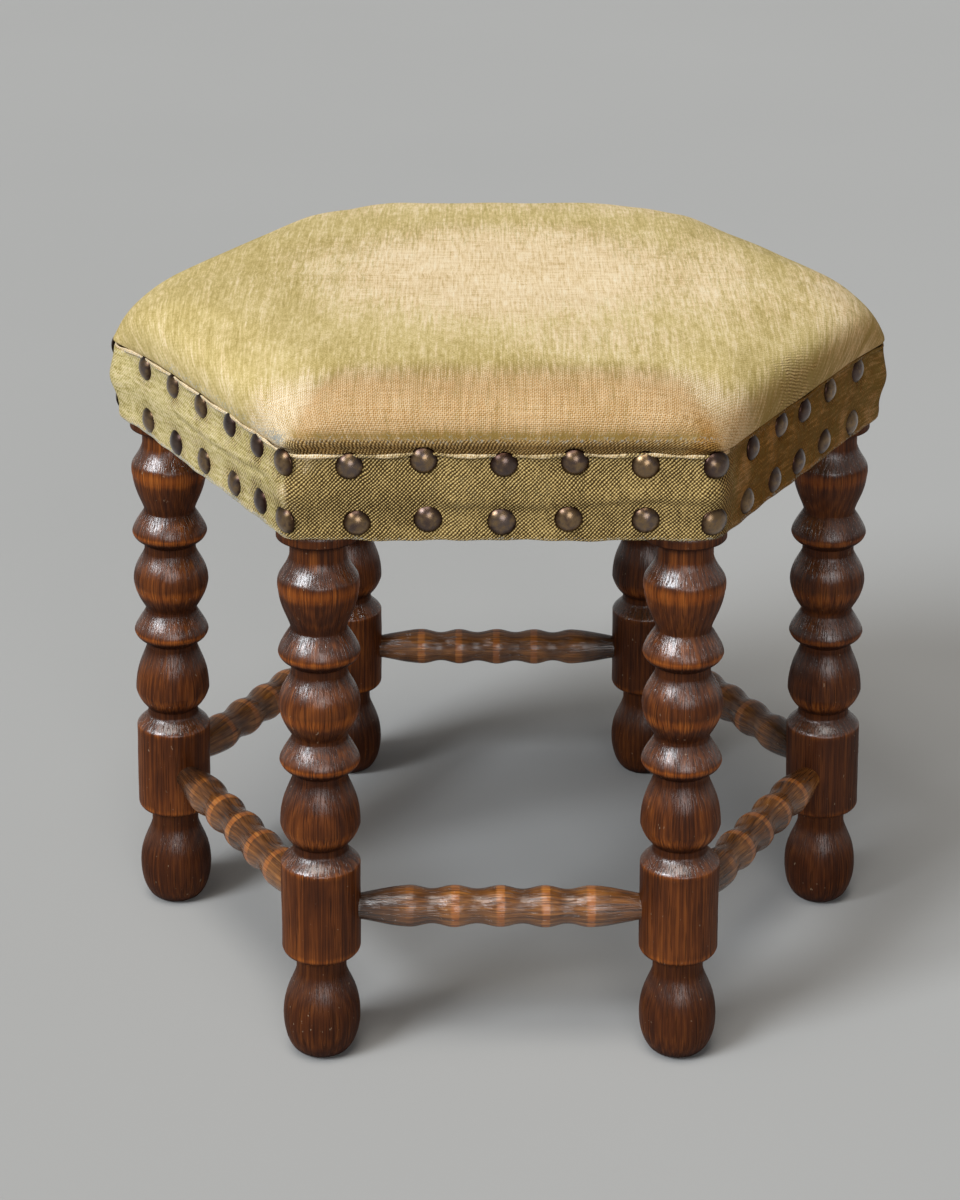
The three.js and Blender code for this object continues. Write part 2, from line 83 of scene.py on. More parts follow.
def stretched(tree, place, scales):
    return put(tree, "ShaderNodeVectorMath", {0: place, 1: scales}, operation="MULTIPLY").outputs[0]


def grain(tree, place, scales, detail=2.0, rough=0.5, warp=0.0):
    wires = {"Vector": stretched(tree, place, scales), "Scale": 1.0, "Detail": detail,
             "Roughness": rough, "Distortion": warp}
    return put(tree, "ShaderNodeTexNoise", wires).outputs["Fac"]


def fitted(tree, value, low, high, toLow=0.0, toHigh=1.0):
    wires = {0: value, 1: low, 2: high, 3: toLow, 4: toHigh}
    return put(tree, "ShaderNodeMapRange", wires, interpolation_type="SMOOTHSTEP").outputs[0]


def blended(tree, share, a, b, how="MIX"):
    node = put(tree, "ShaderNodeMix", {}, data_type="RGBA", blend_type=how, clamp_factor=True)
    for socket, value in ((node.inputs[0], share), (node.inputs[6], a), (node.inputs[7], b)):
        if isinstance(value, bpy.types.NodeSocket):
            tree.links.new(value, socket)
        else:
            socket.default_value = (*value, 1.0) if isinstance(value, tuple) else value
    return node.outputs[2]


def graded(tree, value, stops):
    node = put(tree, "ShaderNodeValToRGB", {0: value})
    ramp = node.color_ramp
    while len(ramp.elements) < len(stops):
        ramp.elements.new(0.5)
    for element, (place, colour) in zip(ramp.elements, stops):
        element.position = place
        element.color = (*colour, 1.0)
    return node.outputs[0]


def raised(tree, height, depth, strength=1.0):
    wires = {"Height": height, "Distance": depth, "Strength": strength}
    return put(tree, "ShaderNodeBump", wires).outputs[0]


def wired(tree, shader, name, value):
    tree.links.new(value, shader.inputs[name])


# Mesh helpers

def newPiece(name, points, faces, finish, stoodFor, smooth=True):
    mesh = bpy.data.meshes.new(name)
    mesh.from_pydata(np.asarray(points, float).tolist(), [], faces)
    mesh.polygons.foreach_set("use_smooth", [smooth] * len(mesh.polygons))
    piece = bpy.data.objects.new(name, mesh)
    bpy.context.scene.collection.objects.link(piece)
    mesh.materials.append(finish)
    if stoodFor:
        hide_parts(*stoodFor)
    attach(piece, "root")
    return piece


def keepValues(piece, name, values):
    values = np.asarray(values, np.float32)
    isVector = values.ndim == 2
    layer = piece.data.attributes.new(name, "FLOAT_VECTOR" if isVector else "FLOAT", "POINT")
    layer.data.foreach_set("vector" if isVector else "value", values.ravel())


def pointsOf(piece):
    points = np.zeros(len(piece.data.vertices) * 3, np.float32)
    piece.data.vertices.foreach_get("co", points)
    return points.reshape(-1, 3).astype(float)


def settled(piece):
    graph = bpy.context.evaluated_depsgraph_get()
    done = bpy.data.meshes.new_from_object(piece.evaluated_get(graph))
    piece.modifiers.clear()
    piece.data = done
    done.polygons.foreach_set("use_smooth", [True] * len(done.polygons))


def bumpy(points, size, seed):
    shift = Vector((seed * 3.1, seed * 1.7, seed * 2.3))
    return np.array([noise.noise(Vector(p) / size + shift) for p in points])


def bell(distance, width):
    return np.exp(-(np.asarray(distance) / width) ** 2)


def eased(value, low, high):
    share = np.clip((np.asarray(value, float) - low) / (high - low), 0, 1)
    return share * share * (3 - 2 * share)


# Turned wood

def woodFinish(name, look):
    material, tree, shader = newFinish(name, look["roughness"])
    place, lines = reading(tree, "grainPlace", True), reading(tree, "linePlace", True)
    worn, grimeAndShade = reading(tree, "worn"), reading(tree, "grimeAndShade")
    drift = grain(tree, place, (9, 9, 4), 2, 0.5)
    parts = put(tree, "ShaderNodeSeparateXYZ", {0: place}).outputs
    across = sums(tree, "ADD", parts[0], look["pithAway"])
    reach = sums(tree, "SQRT", sums(tree, "ADD", sums(tree, "MULTIPLY", across, across),
                                    sums(tree, "MULTIPLY", parts[1], parts[1])))
    turns = sums(tree, "MULTIPLY_ADD", reach, look["ringsPerMetre"], sums(tree, "MULTIPLY", drift, 4.5))
    rings = sums(tree, "SINE", sums(tree, "MULTIPLY", turns, 2 * math.pi))
    rings = sums(tree, "MULTIPLY_ADD", rings, 0.5, 0.5)
    fibres = grain(tree, lines, (1400, 1400, 22), 3, 0.6)
    streaks = grain(tree, lines, (260, 260, 9), 2, 0.5)
    clouds = grain(tree, place, (42, 42, 22), 3, 0.55)
    tone = sums(tree, "MULTIPLY_ADD", fibres, 0.46, sums(tree, "MULTIPLY", streaks, 0.18))
    tone = sums(tree, "MULTIPLY_ADD", clouds, 0.46, tone)
    tone = sums(tree, "MULTIPLY_ADD", rings, 0.08, tone)
    colour = graded(tree, tone, look["tones"])
    # stain rubbed through on the ridges, in streaks along the grain
    glow = sums(tree, "MULTIPLY_ADD", sums(tree, "ADD", fibres, streaks), 0.9, sums(tree, "MULTIPLY", worn, 1.1))
    glow = sums(tree, "MULTIPLY", fitted(tree, glow, 1.15, 2.0), fitted(tree, worn, 0.02, 0.3))
    patchy = sums(tree, "MULTIPLY_ADD", fibres, 0.7, sums(tree, "MULTIPLY", streaks, 0.3))
    rubbed = graded(tree, patchy, [(0.30, look["wornDark"]), (0.47, look["wornColour"]), (0.68, look["wornPale"])])
    colour = blended(tree, sums(tree, "MULTIPLY", glow, look["wornShare"]), colour, rubbed)
    # darkening: grime in the coves, and painted shade on surfaces facing down and on the right-hand legs
    grimeAndShadeMask = sums(tree, "MULTIPLY", grimeAndShade, fitted(tree, clouds, 0.2, 0.6, 0.7, 1.0))
    colour = blended(tree, sums(tree, "MULTIPLY", grimeAndShadeMask, look["grimeAndShadeShare"]), colour, look["grimeAndShadeColour"])
    pores = grain(tree, lines, (1350, 1350, 45), 1, 0.5)
    pores = sums(tree, "MULTIPLY", fitted(tree, pores, 0.55, 0.66), fitted(tree, rings, 0.1, 0.9, 0.4, 1.0))
    colour = blended(tree, sums(tree, "MULTIPLY", pores, 0.55), colour, look["poreColour"])
    chips = fitted(tree, grain(tree, place, (380, 380, 230), 3, 0.65), 0.69, 0.73)
    colour = blended(tree, sums(tree, "MULTIPLY", chips, look["chipShare"]), colour, look["chipColour"])
    wired(tree, shader, "Base Color", colour)
    rough = sums(tree, "MULTIPLY_ADD", clouds, 0.28, look["roughness"] - 0.12)
    rough = sums(tree, "MULTIPLY_ADD", pores, 0.25, rough)
    wired(tree, shader, "Roughness", rough)
    shader.inputs["Specular IOR Level"].default_value = look["shine"]
    wired(tree, shader, "Coat Weight", sums(tree, "MULTIPLY", reading(tree, "polish"), look["coat"]))
    shader.inputs["Coat IOR"].default_value = 1.9
    shader.inputs["Coat Roughness"].default_value = look["coatRoughness"]
    relief = sums(tree, "MULTIPLY_ADD", pores, -1.0, sums(tree, "MULTIPLY", fibres, 0.9))
    relief = sums(tree, "MULTIPLY_ADD", grain(tree, place, (190, 190, 120), 3, 0.6), look["lumps"], relief)
    bump = raised(tree, relief, look["reliefDepth"] * mm)
    wired(tree, shader, "Normal", bump)
    wired(tree, shader, "Coat Normal", bump)
    return material


legLook = {
    "roughness": 0.42, "shine": 0.02, "coat": 1.0, "coatRoughness": 0.24, "reliefDepth": 0.19, "lumps": 0.8,
    "pithAway": 0.046, "ringsPerMetre": 330,
    "tones": [(0.38, (0.030, 0.0080, 0.0030)), (0.52, (0.070, 0.0180, 0.0045)),
              (0.62, (0.122, 0.0320, 0.0070)), (0.78, (0.23, 0.066, 0.012))],
    "wornDark": (0.085, 0.019, 0.004), "wornColour": (0.26, 0.060, 0.007), "wornPale": (0.47, 0.145, 0.022),
    "wornShare": 0.78,
    "grimeAndShadeColour": (0.011, 0.0052, 0.0050), "grimeAndShadeShare": 0.93,
    "poreColour": (0.012, 0.0045, 0.0028),
    "chipColour": (0.48, 0.34, 0.22), "chipShare": 0.45,
}
stretcherLook = {
    **legLook, "roughness": 0.44, "coat": 1.0, "coatRoughness": 0.17, "reliefDepth": 0.24, "lumps": 0.6,
    "tones": [(0.38, (0.020, 0.0070, 0.0025)), (0.50, (0.076, 0.026, 0.0065)),
              (0.62, (0.185, 0.064, 0.013)), (0.78, (0.38, 0.150, 0.035))],
    "wornDark": (0.13, 0.036, 0.009), "wornColour": (0.36, 0.105, 0.018), "wornPale": (0.56, 0.22, 0.045),
    "wornShare": 0.92,
    "grimeAndShadeColour": (0.020, 0.0125, 0.0095), "grimeAndShadeShare": 0.85,
}


def bowed(start, radius, rise, shares, steps):
    firstOut, firstUp, secondOut, secondUp = shares
    low, span = min(start[0], radius), abs(radius - start[0])
    a, d = np.array(start), np.array((radius, start[1] + rise))
    b = np.array((low + span * firstOut, start[1] + rise * firstUp))
    c = np.array((low + span * secondOut, start[1] + rise * secondUp))
    t = ((1 - np.cos(np.pi * np.arange(1, steps + 1) / steps)) / 2)[:, None]
    return (1 - t) ** 3 * a + 3 * (1 - t) ** 2 * t * b + 3 * (1 - t) * t * t * c + t ** 3 * d


def runOn(outline, runs, steps):
    for radius, rise, shares in runs:
        if shares is None:
            count = max(2, round(abs(rise) / 2.5))
            for i in range(1, count + 1):
                outline.append((radius, outline[-1][1] + rise / count))
        else:
            outline.extend(map(tuple, bowed(outline[-1], radius, rise, shares, steps)))
    return outline


def turnedPiece(name, outline, facets, matrix, seed, finish, node, reliefs, darkening=0.0):
    outline = np.array(outline)
    angles = np.arange(facets) * 2 * math.pi / facets
    radii, heights = outline[1:-1, 0], outline[1:-1, 1]
    ringCount = len(radii)
    local = np.stack([
        radii[:, None] * np.cos(angles), radii[:, None] * np.sin(angles),
        np.repeat(heights[:, None], facets, 1),
    ], -1).reshape(-1, 3)
    wobble = bumpy(local * mm, 0.035, seed) * 0.35 + bumpy(local * mm, 0.011, seed + 5) * 0.14
    softened = np.minimum(np.abs(local[:, :2]).max(1) / 8, 1)
    grown = 1 + (wobble * softened / np.maximum(np.hypot(local[:, 0], local[:, 1]), 4))[:, None]
    shaped = local.copy()
    shaped[:, :2] *= grown
    ends = np.array([(0, 0, outline[0, 1]), (0, 0, outline[-1, 1])])
    points = np.vstack([shaped, ends]) * mm
    faces = []
    for i in range(ringCount - 1):
        for j in range(facets):
            k = (j + 1) % facets
            faces.append((i * facets + j, i * facets + k, (i + 1) * facets + k, (i + 1) * facets + j))
    low, high, last = ringCount * facets, ringCount * facets + 1, (ringCount - 1) * facets
    for j in range(facets):
        k = (j + 1) % facets
        faces.append((low, k, j))
        faces.append((high, last + j, last + k))
    placed = np.array([(matrix @ Vector(p))[:] for p in points])
    placed[:, 2] = np.maximum(placed[:, 2], 0)  # feet sawn off level
    piece = newPiece(name, placed, faces, finish, [node])
    turn = Matrix.Rotation(seed * 2.4, 3, "Z")
    along = np.array([(turn @ Vector(p))[:] for p in points]) + np.array((0.0, 0.0, seed * 0.73))
    keepValues(piece, "grainPlace", along)
    reach = np.maximum(np.hypot(points[:, 0], points[:, 1]), 1e-5)
    evened = 0.2 + 0.8 * outline[:, 0].max() * mm / reach
    keepValues(piece, "linePlace", along * np.stack([evened, evened, np.ones(len(evened))], -1))
    worn, grimeAndShade, polish = reliefs(outline[:, 0], outline[:, 1])
    # painted shade on the right-hand legs is added to the darkened hollows
    grimeAndShade = np.maximum(grimeAndShade, darkening)
    for valueName, values in (("worn", worn), ("grimeAndShade", grimeAndShade), ("polish", polish)):
        keepValues(piece, valueName, np.concatenate([np.repeat(values[1:-1], facets), values[[0, -1]]]))
    return piece


def profileSlope(radii, heights):
    order = np.argsort(heights, kind="stable")
    fine = np.arange(heights.min(), heights.max(), 0.4)
    radius = np.interp(fine, heights[order], radii[order])
    smooth = np.convolve(np.pad(radius, 2, mode="edge"), np.ones(5) / 5, "valid")
    return np.interp(heights, fine, np.gradient(smooth, 0.4))


# Outline of a leg, from the floor up. A bow is a rise and how far out and up its two pull points lie
leg = {
    "axisRadius": 182.9, "splay": 1.56, "facets": 72, "steps": 13,
    "full": 20.0, "neck": 13.7, "footNeck": 12.8, "head": 18.7, "contact": 9.8, "foot": 19.7,
    "footWidest": 21.0, "footTaper": (27.0, (1, 0.55, 0.1, 0.76)), "footCove": 6.2,
    "blockEdge": (6.6, (0, 0.55, 0.9, 0.2)), "blockStraight": 47.0,
    "blockShoulder": (8.4, (1, 0.3, 0.1, 0.62)), "blockCove": 2.8,
    "egg": (37.0, 0.3, (0.1, 0.12, 0.72, 0.35), (1, 0.55, 0.2, 0.78), 2.0),
    "lowerBead": (19.5, 0.36, (0.05, 0.3, 0.8, 0.3), (1, 0.24, 0.22, 0.76), 1.5),
    "ball": (33.6, 0.475, (0.15, 0.15, 0.9, 0.5), (1, 0.5, 0.25, 0.72), 3.4),
    "upperBead": (19.5, 0.36, (0.05, 0.3, 0.8, 0.3), (1, 0.26, 0.28, 0.78), 0.8),
    "vaseBowl": (19.2, (0.12, 0.22, 0.88, 0.55)), "vaseBelt": 6.6, "beltEdge": 0.55,
    "vaseShoulder": (11.9, (0.93, 0.16, 0.08, 0.62)), "vaseCove": 6.4,
    "collarRise": (3.0, (0, 0.5, 1, 0.3)), "collar": 5.8,
    "darkening": {"right": 0.42, "back_right": 0.3, "front_right": 0.06},  # painted shade: the legs on the right are darkened as if they stood in shade
    # height, spread and strength of the wear on each ridge
    "wear": [(14.5, 5.5, 0.32), (60.0, 2.3, 0.7), (108.5, 1.8, 0.6), (126.0, 5.0, 0.75), (164.6, 1.7, 1.0),
             (190.5, 4.0, 0.85), (222.6, 1.7, 1.0), (257.5, 4.5, 0.9), (276.0, 8.0, 0.45), (231.0, 3.5, 0.4),
             (206.0, 6.0, 0.4), (172.5, 3.5, 0.4)],
}


def legRuns():
    full, neck, footNeck = leg["full"], leg["neck"], leg["footNeck"]
    runs = [(footNeck, *leg["footTaper"]), (footNeck, leg["footCove"], None), (full, *leg["blockEdge"]),
            (full, leg["blockStraight"], None), (neck, *leg["blockShoulder"]), (neck, leg["blockCove"], None)]
    for shape in ("egg", "lowerBead", "ball", "upperBead"):
        height, widest, lower, upper, cove = leg[shape]
        runs += [(full, height * widest, lower), (neck, height * (1 - widest), upper), (neck, cove, None)]
    edge, halfBelt = full - leg["beltEdge"], leg["vaseBelt"] / 2
    runs += [(edge, *leg["vaseBowl"]), (full - 0.1, halfBelt, (0.5, 0.25, 1, 0.5)),
             (edge, halfBelt, (1, 0.5, 0.5, 0.75)), (neck, *leg["vaseShoulder"]), (neck, leg["vaseCove"], None)]
    return runs + [(full, *leg["collarRise"]), (full, leg["collar"], None)]


def legOutline(topHeight):
    arc = np.linspace(0, math.pi / 2, 14)
    reach = leg["foot"] - leg["contact"]
    outline = [(0.0, 0.0), (leg["contact"] * 0.6, 0.0)]
    for a in arc:
        outline.append((leg["contact"] + reach * math.sin(a), leg["footWidest"] * (1 - math.cos(a))))
    runOn(outline, legRuns(), leg["steps"])
    outline += [(leg["head"], outline[-1][1] + 0.05), (leg["head"], topHeight - 0.5)]
    return outline + [(leg["head"] - 0.5, topHeight), (0.0, topHeight)]


def legReliefs(radii, heights):
    slope = profileSlope(radii, heights)
    worn = np.zeros(len(heights))
    for height, spread, strength in leg["wear"]:
        worn = np.maximum(worn, strength * bell(heights - height, spread))
    worn = np.maximum(worn, 0.14 * (heights > 50))
    # painted shade: surfaces that face down are darkened as if shaded
    undersides = eased(slope, 0.15, 0.8) * (heights > 45) * (1 - 0.7 * worn)
    coves = 0.5 * bell(radii - leg["neck"], 2.0) * (heights < 240)
    # darker towards the floor
    darkerNearFloor = np.maximum(eased(11 - heights, 0, 9) * 0.9, 0.48 * (heights < 52))
    grimeAndShade = np.maximum.reduce([undersides, coves, darkerNearFloor])
    polish = (0.13 + 0.87 * eased(-slope, 0.2, 0.6)) * (1 - 0.8 * grimeAndShade)
    return worn * (heights < 287), grimeAndShade, polish


legWood = woodFinish("LegWood", legLook)
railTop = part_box("seat_rail_front")[1].z
legNames = ["right", "back_right", "back_left", "left", "front_left", "front_right"]
lean = math.radians(leg["splay"])
for i, name in enumerate(legNames):
    matrix = (Matrix.Rotation(i * sideAngle, 4, "Z") @ Matrix.Translation((leg["axisRadius"] * mm, 0, 0))
              @ Matrix.Rotation(-lean, 4, "Y"))
    outline = legOutline(railTop / mm / math.cos(lean))
    turnedPiece(f"turned_leg_{name}", outline, leg["facets"], matrix, i + 1.0, legWood,
                f"leg_{name}", legReliefs, leg["darkening"].get(name, 0.0))
print("legs turned")

stretcher = {
    "facets": 48, "steps": 12, "bead": 10.6, "neck": 8.8, "end": 6.8, "tenon": 6.4, "pitch": 22.8,
    "sideBeads": 2, "tenonStop": 8.0, "intoLeg": 1.4,
    "narrowing": (1, 0.4, 0, 0.6), "widening": (0, 0.4, 1, 0.6), "endShares": (0.95, 0.3, 0.35, 0.7),
    "bandHalfWidth": 2.3, "bandEdge": 0.5, "bandOffset": 0.4,
}


def stretcherOutline(half):
    outline = [(stretcher["bead"], 0.0)]
    rise = stretcher["pitch"] / 2
    runs = []
    for _ in range(stretcher["sideBeads"]):
        runs += [(stretcher["neck"], rise, stretcher["narrowing"]),
                 (stretcher["bead"], rise, stretcher["widening"])]
    beadEnd = stretcher["pitch"] * stretcher["sideBeads"]
    legFace = half - leg["full"]
    runs.append((stretcher["end"], legFace - beadEnd, stretcher["endShares"]))
    runs += [(stretcher["end"], stretcher["intoLeg"], None)]
    runOn(outline, runs, stretcher["steps"])
    stop = half - stretcher["tenonStop"]
    outline += [(stretcher["tenon"], outline[-1][1] + 0.1), (stretcher["tenon"], stop), (0.0, stop)]
    mirrored = [(r, -z) for r, z in outline[:0:-1]]
    return mirrored + outline


def stretcherReliefs(radii, heights):
    beads = np.clip(np.round(heights / stretcher["pitch"]), -2, 2)
    offBead = heights - beads * stretcher["pitch"] - stretcher["bandOffset"]
    edge, half = stretcher["bandEdge"], stretcher["bandHalfWidth"]
    worn = 1 - eased(np.abs(offBead), half - edge, half + edge)
    worn *= np.interp(beads, [-2, -1, 0, 1, 2], [0.45, 1, 0.95, 0.9, 1])
    grimeAndShade = eased(-heights, 46, 66) * 0.97 + eased(np.abs(offBead), 4, 10) * (np.abs(heights) < 56) * 0.35
    return worn, np.clip(grimeAndShade, 0, 1), np.full(len(heights), 0.72)


stretcherWood = woodFinish("StretcherWood", stretcherLook)
sideNames = ["back_right", "back", "back_left", "front_left", "front", "front_right"]
for i, name in enumerate(sideNames):
    low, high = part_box(f"stretcher_{name}")
    height = (low.z + high.z) / 2
    reach = leg["axisRadius"] * mm - height * math.tan(lean)
    half = reach * math.sin(halfSide) / mm
    turn = Matrix.Rotation(halfSide + i * sideAngle, 4, "Z")
    matrix = (turn @ Matrix.Translation((reach * math.cos(halfSide), 0, height))
              @ Matrix.Rotation(-math.pi / 2, 4, "X"))
    turnedPiece(f"turned_stretcher_{name}", stretcherOutline(half), stretcher["facets"], matrix, i + 11.0,
                stretcherWood, f"stretcher_{name}", stretcherReliefs)
print("stretchers turned")


# Seat shape, shared by the cover, the padding and the band

bandLow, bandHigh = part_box("side_band")
seat = {
    "bandBottom": bandLow.z / mm, "bandHeight": 43.0, "bandApothem": 173.28, "bandInner": 171.88,
    "cornerRound": 13.0, "grooveHeight": 4.8, "grooveDepth": 1.2, "overhang": 2.0, "turnHeight": 4.4,
    "crownRise": 24.7, "sideSquareness": 6.5, "topSquareness": 3.2, "roundPerRise": 3.4, "flatShare": 0.97,
    "coverApothem": 171.58, "coverThickness": 1.0, "coverLap": 10.0,
    # how far the cover's lower fold sags, by laps away from the middle of the front
    "foldAt": [-3.0, -1.75, -1.5, -1.25, -0.56, -0.44, 0.44, 0.56, 1.5, 2.0, 3.0],
    "foldDrop": [4.2, 5.0, 7.4, 5.6, 5.2, 2.3, 2.3, 7.0, 7.0, 4.2, 4.2],
    # corners: where, how far the edge dips and how far the corner bulges
    "dippedCorners": [(0.0, 2.8, 1.7), (1.0, 2.0, 2.0), (2.0, 2.0, 2.0), (3.0, 3.0, 3.6), (4.0, 0.0, 0.6),
                      (5.0, 0.2, 0.6)],
}
bandTop = seat["bandBottom"] + seat["bandHeight"]
widestHeight = bandTop + seat["grooveHeight"] + seat["turnHeight"]


def hexPlace(apothem, rounding, lap):
    apothem, rounding = np.asarray(apothem, float), np.maximum(np.asarray(rounding, float), 1e-5)
    side = np.floor(lap)
    share = lap - side
    arc = rounding * halfSide
    straight = 2 * (apothem - rounding) * math.tan(halfSide)
    total = 2 * arc + straight
    run = share * total
    corner = side * sideAngle
    angle = np.where(run < arc, corner + run / rounding, corner + halfSide)
    angle = np.where(run > arc + straight, corner + sideAngle - (total - run) / rounding, angle)
    centre = (apothem - rounding) / math.cos(halfSide)
    atCorner = np.where(run > arc + straight, corner + sideAngle, corner)
    along = np.where((run >= arc) & (run <= arc + straight), run - arc, 0)
    middle = corner + halfSide
    x = centre * np.cos(atCorner) + rounding * np.cos(angle) - along * np.sin(middle)
    y = centre * np.sin(atCorner) + rounding * np.sin(angle) + along * np.cos(middle)
    return x, y, angle


def crownTable():
    angle = np.linspace(math.pi / 2, 0, 4000)
    widest = seat["bandApothem"] + seat["overhang"]
    apothem = widest * np.cos(angle) ** (2 / seat["sideSquareness"])
    lift = seat["crownRise"] * np.sin(angle) ** (2 / seat["topSquareness"])
    apothem[0] = 0
    run = np.concatenate([[0], np.cumsum(np.hypot(np.diff(apothem), np.diff(lift)))])
    return run, apothem, lift


crownRun, crownApothem, crownLift = crownTable()


def crownPlace(share, lap, inset):
    run = np.asarray(share) * crownRun[-1]
    apothem = np.interp(run, crownRun, crownApothem)
    lift = np.interp(run, crownRun, crownLift)
    rounding = np.minimum(seat["cornerRound"] + seat["roundPerRise"] * lift, apothem * seat["flatShare"])
    thinner = (seat["crownRise"] - inset) / seat["crownRise"]
    inset = np.minimum(inset, rounding)
    x, y, _ = hexPlace(np.maximum(apothem - inset, 0), rounding - inset, lap)
    return np.stack([x, y, widestHeight + lift * thinner], -1)


def seatGrid(steps):
    index, shares, laps, faces = {}, [], [], []
    for k in range(3):
        start = np.array((math.cos(2 * k * sideAngle), math.sin(2 * k * sideAngle)))
        end = np.array((math.cos((2 * k + 2) * sideAngle), math.sin((2 * k + 2) * sideAngle)))
        named = {}
        for i in range(steps + 1):
            for j in range(steps + 1):
                flat = start * i + end * j
                key = (round(flat[0], 4) + 0.0, round(flat[1], 4) + 0.0)
                if key not in index:
                    index[key] = len(shares)
                    top = max(i, j)
                    lap = 0 if top == 0 else j / i if i >= j else 1 + (j - i) / j
                    shares.append(1 - (1 - top / steps) ** 1.2)  # closer rows towards the edge
                    laps.append((2 * k + lap) % 6)
                named[i, j] = index[key]
        for i in range(steps):
            for j in range(steps):
                faces.append((named[i, j], named[i + 1, j], named[i + 1, j + 1], named[i, j + 1]))
    shares, laps = np.array(shares), np.array(laps)
    rim = np.flatnonzero(shares == 1)
    rim = rim[np.argsort(laps[rim])]
    return shares, laps, faces, rim


def joinRing(faces, upper, lower):
    count = len(upper)
    for i in range(count):
        k = (i + 1) % count
        faces.append((int(upper[i]), int(lower[i]), int(lower[k]), int(upper[k])))


def paddedSkin(steps, inset, walls, closed):
    shares, laps, faces, rim = seatGrid(steps)
    points = [crownPlace(shares, laps, inset)]
    upper, count = rim, len(shares)
    for apothem, rounding, height in walls:
        x, y, _ = hexPlace(apothem - inset, rounding - inset, laps[rim])
        points.append(np.stack([x, y, np.full(len(rim), height)], -1))
        lower = np.arange(count, count + len(rim))
        joinRing(faces, upper, lower)
        upper, count = lower, count + len(rim)
    if closed:
        points.append(np.array([(0, 0, walls[-1][2])]))
        for i in range(len(rim)):
            faces.append((int(upper[i]), count, int(upper[(i + 1) % len(rim)])))
    return np.vstack(points), faces, shares, laps, rim


# Nails: where they were driven, along a side from its middle and up from the band's lower edge

nail = {
    "upperRadius": 6.75, "lowerRadius": 7.0, "height": 3.1, "sink": 0.2, "proud": 0.45, "rimSlope": 0.85,
    "rings": 9, "facets": 32, "lower": 9.1, "spacing": 28.0, "stray": 1.6, "tiltDegrees": 5.0,
    "cornerShift": {4: -3.2, 3: -5.5, 0: 9.0},
    "driven": {
        4: ([(-70.8, 36.9), (-36.5, 39.7), (0.8, 37.5), (33.4, 38.9), (66.3, 37.6)],
            [(-67.7, 8.4), (-34.7, 10.9), (0.0, 9.6), (31.2, 10.6), (67.3, 10.1)]),
        3: ([(-63.4, 36.3), (-28.1, 37.0), (4.8, 36.6), (38.2, 37.9), (68.5, 37.2)],
            [(-62.1, 8.0), (-27.3, 7.4), (6.3, 8.8), (41.1, 8.8), (69.8, 9.7)]),
        5: ([(-61.8, 34.2), (-29.5, 35.0), (-1.1, 33.7), (29.7, 35.4), (66.0, 34.6)],
            [(-65.9, 8.6), (-33.7, 8.6), (-5.0, 8.4), (25.7, 8.8), (61.7, 7.9)]),
    },
}


def nailList():
    chance = np.random.default_rng(7)
    halfLength = seat["bandApothem"] * math.tan(halfSide)
    found = []
    for side in range(6):
        for row in range(2):
            level = nail["lower"] + (nail["spacing"] if row == 0 else 0)
            if side in nail["driven"]:
                places = nail["driven"][side][row]
            else:
                step = 2 * halfLength / 6
                places = [(step * k - halfLength + chance.uniform(-1, 1) * nail["stray"] * 1.5,
                           level + chance.uniform(-1, 1) * nail["stray"] * 0.7) for k in range(1, 6)]
            found.append((side, row, 0.0, level + chance.uniform(-1, 1) * 0.5, True))
            found += [(side, row, along, height, False) for along, height in places]
    return found


def lapAt(side, along):
    rounding = seat["cornerRound"]
    straight = 2 * (seat["bandApothem"] - rounding) * math.tan(halfSide)
    total = 2 * rounding * halfSide + straight
    return side + 0.5 + along / total


perimeterPerLap = (2 * seat["cornerRound"] * halfSide
                   + 2 * (seat["bandApothem"] - seat["cornerRound"]) * math.tan(halfSide))
nails = [(lapAt(side, along) if not atCorner else side + nail["cornerShift"].get(side, 0) / perimeterPerLap,
          height, side, row, atCorner)
         for side, row, along, height, atCorner in nailList()]


def lapGap(laps, lap):
    return ((laps - lap + 3) % 6 - 3) * perimeterPerLap


# Velvet

